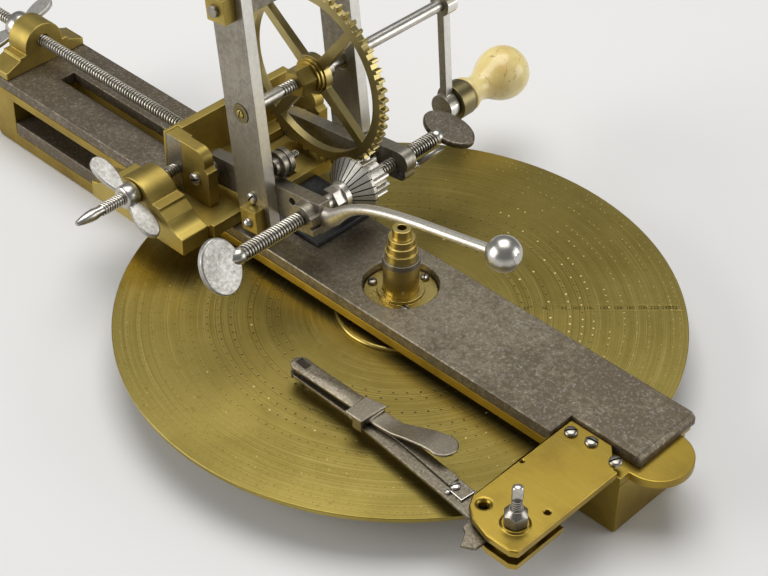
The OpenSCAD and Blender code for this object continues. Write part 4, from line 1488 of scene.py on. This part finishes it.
    def build_lever(self) -> None:
        """Draws the curved hand lever as a rounded bar and turns its ball."""
        rows = self.lever_rows
        rings = []
        for number, (a, b, high, wide) in enumerate(rows):
            before = rows[max(0, number - 1)]
            after = rows[min(len(rows) - 1, number + 1)]
            lean = math.atan2(after[1] - before[1], after[0] - before[0])
            place = Matrix.Translation(swung(a, self.lever_y, b) * MM)
            leaning = Matrix.Rotation(-TILT - lean, 4, "Y")
            size = Matrix.Diagonal((1.0, wide * MM / 2.0, high * MM / 2.0, 1.0))
            rings.append(place @ leaning @ size @ Matrix.Rotation(math.radians(90.0), 4, "Y"))
        bar = self.loft("ball_lever_bar", rings, 28)
        self.dress(bar, LEVER_STEEL)
        a, y, b = self.ball
        lean = TILT + self.ball_lean
        along = Vector((math.cos(lean), 0.0, math.sin(lean)))
        origin = swung(a, self.lever_y + y, b)
        ball = self.turned("ball_lever_ball", self.ball_outline, 56, 45.0, origin, along, BALL_STEEL)
        piece = self.join("ball_lever_swept", bar, ball)
        self.smooth(piece, 45.0)
        self.fit(piece, "ball_lever")

    def build_thumb_screws(self) -> None:
        """Makes the two centre screws and the clamp screw with their oval thumb heads."""
        for kind in self.thumb_screws:
            origin = swung(kind.a, kind.tip - PIVOT.y, kind.b)
            shank = self.screw(kind.node + "_shank", origin, kind.along, kind.core, kind.threads)
            turn = math.radians(kind.turn)
            normal = Vector((math.cos(turn), 0.0, -math.sin(turn)))
            wide = Vector((-math.sin(turn), 0.0, -math.cos(turn)))
            place = standing(origin + kind.along * kind.head, wide, ACROSS, normal)
            head = self.oval(kind.node + "_head", kind.shape, place, kind.finish)
            self.fit(self.join(kind.node + "_threaded", head, shank), kind.node)


@dataclass
class Drive(SubAssembly):
    """Drive arbor, crossed-out wheel, crank and knob."""

    plain: Plain = (
        ("drive_wheel", Edge.TOOTH, WHEEL_BRASS),
        ("wheel_collar", Edge.FINE, SCREW_STEEL),
        ("ferrule", Edge.SMALL, DULL_AND_SHADE_BRASS))
    arbor_pitch: float = 1.7
    threaded: float = 8.0
    journal: Pair = (2.3, 7.0)
    nut_bore: float = 3.2
    washers: Sequence[Trio] = ((9.6, 0.0, 1.6), (8.5, 1.6, 3.0))
    hexagon: Outline = ((7.7, 3.0), (7.9, 3.2), (7.9, 10.8), (6.7, 11.9))
    knob: Outline = (
        (3.1, 0.0), (9.2, 0.0), (9.6, 0.4), (9.7, 1.2), (9.3, 2.6), (8.5, 4.4), (7.8, 6.4), (7.5, 8.6),
        (7.6, 10.8), (8.2, 13.2), (9.4, 16.0), (11.0, 18.8), (12.6, 21.6), (13.9, 24.6), (14.8, 28.0),
        (15.0, 31.0), (14.6, 34.2), (13.4, 37.6), (11.5, 40.4), (9.0, 42.6), (6.0, 44.1), (3.0, 44.9))

    def build(self) -> None:
        """Eases the drive, threads its arbor, shapes the nut and turns the knob."""
        super().build()
        # The crank arm's faces towards +X take the bright second finish: painted light on that side
        self.recolour(self.eased("crank_arm", Edge.MILLED, FRAME_STEEL), AHEAD, 0.9)
        self.build_arbor()
        self.build_wheel_nut()
        self.build_knob()

    def build_arbor(self) -> None:
        """Turns the arbor, with a short thread in front of the wheel nut and a cap on its front end."""
        origin, length, radius = self.span("drive_arbor", ACROSS)
        nut = self.span("wheel_nut", ACROSS)[0].y - origin.y
        root = radius - CORE_DEPTH * self.arbor_pitch
        first = nut - self.threaded
        last = nut + 2.0
        thin, long = self.journal
        core = [(0.0, 0.0), (thin, 0.0), (thin, long - 0.1), (radius - 0.3, long), (radius, long + 0.3),
                (radius, first), (root, first + 0.3), (root, last), (radius, last + 0.3),
                (radius, length - 0.4), (radius - 0.4, length), (0.0, length)]
        threads = [(radius, self.arbor_pitch, first, last + 1.0)]
        arbor = self.screw("drive_arbor_turned", origin, ACROSS, core, threads)
        cap = self.slotted(thin, 1.0, origin, -ACROSS, 80.0, TURNED_BRASS)
        self.fit(self.join("drive_arbor_turned", arbor, cap), "drive_arbor")

    def build_wheel_nut(self) -> None:
        """Makes the hexagon nut of the wheel with its two washers."""
        foot, length, _ = self.span("wheel_nut", ACROSS)
        bore = self.nut_bore
        made = []
        for radius, low, top in self.washers:
            ring = [(bore, low), (radius - 0.2, low), (radius, low + 0.2), (radius, top - 0.2),
                    (radius - 0.2, top), (bore, top), (bore, low)]
            made.append(self.lathe("wheel_washer", ring, 56))
        ring = [(bore, 3.0), *self.hexagon, (bore, 12.0), (bore, 3.0)]
        made.append(self.lathe("wheel_hexagon", ring, 6))
        for ring in made:
            self.smooth(ring, 30.0)
        piece = self.join("wheel_nut_shaped", *made)
        self.lay(piece, foot + ACROSS * length, -ACROSS, 20.0)
        self.dress(piece, TURNED_BRASS)
        self.fit(piece, "wheel_nut", Slot.BRASS)

    def build_knob(self) -> None:
        """Turns the pear-shaped bone knob."""
        origin, length, _ = self.span("knob", ACROSS)
        outline = [*self.knob, (0.0, length)]
        piece = self.turned("knob_turned", outline, 64, 50.0, origin, ACROSS, YELLOW_BONE)
        self.fit(piece, "knob", Slot.BONE)


@dataclass
class Spindle(SubAssembly):
    """Cutter arbor, conical cutter and pinion."""

    plain: Plain = (
        ("cutter_arbor", Edge.FINE, BRIGHT_STEEL),
        ("pinion", Edge.TOOTH, BRIGHT_STEEL))
    slits: int = 26
    slit_place: Trio = (11.6, 3.65, 0.0)
    slit_size: Trio = (3.0, 16.0, 0.6)
    slit_lean: float = -47.6

    def build(self) -> None:
        """Eases the spindle and cuts the radial slits of the cutter."""
        super().build()
        foot = Matrix.Translation(self.span("cutter", ACROSS)[0] * MM)
        piece = self.copy("cutter", "cutter_slit")
        self.smooth(piece, 30.0)
        self.dress(piece, CUTTER_STEEL)
        push = flat(self.slit_place, self.slit_lean)
        blades = []
        for number in range(self.slits):
            turn = Matrix.Rotation(FULL_TURN * number / self.slits, 4, "Y")
            blades.append(self.block(foot @ turn @ push, self.slit_size))
        tool = self.join("cutter_blades", *blades)
        # The slits' cuts take the dark finish: painted shade inside them
        self.dress(tool, GROOVE_SHADE)
        self.carve(piece, tool)
        self.fit(piece, "cutter")


@dataclass
class Studio:
    """Pale floor, soft lamps and the camera at the photograph's angle, in metres."""

    floor_tones: tuple[Trio, Trio] = ((0.8, 0.79, 0.77), (0.7, 0.7, 0.69))
    floor_size: float = 8.0
    floor_drop: float = 0.0004
    lamps: Sequence[tuple[str, Trio, float, float]] = (
        ("sky", (-0.25, 0.25, 1.6), 1.3, 19.5),
        ("right", (2.3, 1.8, 0.64), 2.0, 36.0),
        ("key", (-1.7, -2.5, 1.1), 2.2, 64.0))
    dim: tuple[Quad, float] = ((0.75, 0.76, 0.78, 1.0), 0.25)
    eye: Trio = (0.4900, -0.5255, 0.6360)
    right: Trio = (0.7178, 0.6961, 0.0100)
    back: Trio = (0.5304, -0.5561, 0.6398)
    lens: float = 90.71
    sensor: float = 36.0

    def build(self) -> None:
        """Sets up the whole studio."""
        self.lay_floor()
        self.hang_lamps()
        self.set_camera()
        bpy.context.scene.view_settings.view_transform = "Standard"

    def lay_floor(self) -> None:
        """Lays the pale floor under the engine."""
        bpy.ops.object.select_all(action="DESELECT")
        bpy.ops.mesh.primitive_plane_add(size=self.floor_size, location=(0.0, 0.0, -self.floor_drop))
        floor = bpy.context.active_object
        floor.name = "floor"
        bench = ShaderBench("pale_floor")
        cloud = bench.noise(bench.place(), 3.0, 3.0)
        colour = bench.mix(cloud * 0.1, *self.floor_tones)
        inputs = {"Base Color": colour, "Roughness": 0.9, "Specular IOR Level": 0.1}
        floor.data.materials.append(bench.close(inputs, cloud, 0.0001, 0.05))

    def hang_lamps(self) -> None:
        """Hangs the soft lamps and sets the dim surroundings."""
        for name, place, size, power in self.lamps:
            bpy.ops.object.light_add(type="AREA", location=place)
            lamp = bpy.context.active_object
            lamp.name = name
            lamp.data.size = size
            lamp.data.energy = power
            lamp.rotation_euler = (-Vector(place)).to_track_quat("-Z", "Y").to_euler()
        world = bpy.data.worlds.new("studio")
        bpy.context.scene.world = world
        world.use_nodes = True
        inputs = world.node_tree.nodes["Background"].inputs
        inputs["Color"].default_value, inputs["Strength"].default_value = self.dim

    def set_camera(self) -> None:
        """Sets the camera where the photograph was taken from."""
        back = Vector(self.back).normalized()
        up = back.cross(Vector(self.right).normalized()).normalized()
        bpy.ops.object.camera_add(location=self.eye)
        camera = bpy.context.active_object
        turn = Matrix((up.cross(back), up, back)).transposed().to_4x4()
        camera.matrix_world = Matrix.Translation(self.eye) @ turn
        camera.data.sensor_fit = "HORIZONTAL"
        camera.data.sensor_width = self.sensor
        camera.data.lens = self.lens
        camera.data.clip_start = 0.05
        bpy.context.scene.camera = camera


def main() -> None:
    """Builds the sub-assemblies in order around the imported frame."""
    logging.basicConfig(level=logging.INFO, format="%(name)s: %(message)s")
    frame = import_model()
    Studio().build()
    for kind in (Bed, DividingHead, Index, Carriage, SwingFrame, Drive, Spindle):
        kind(frame["nodes"]).build()
        LOG.info("%s is done", kind.__name__)


if __name__ == "__main__":
    main()
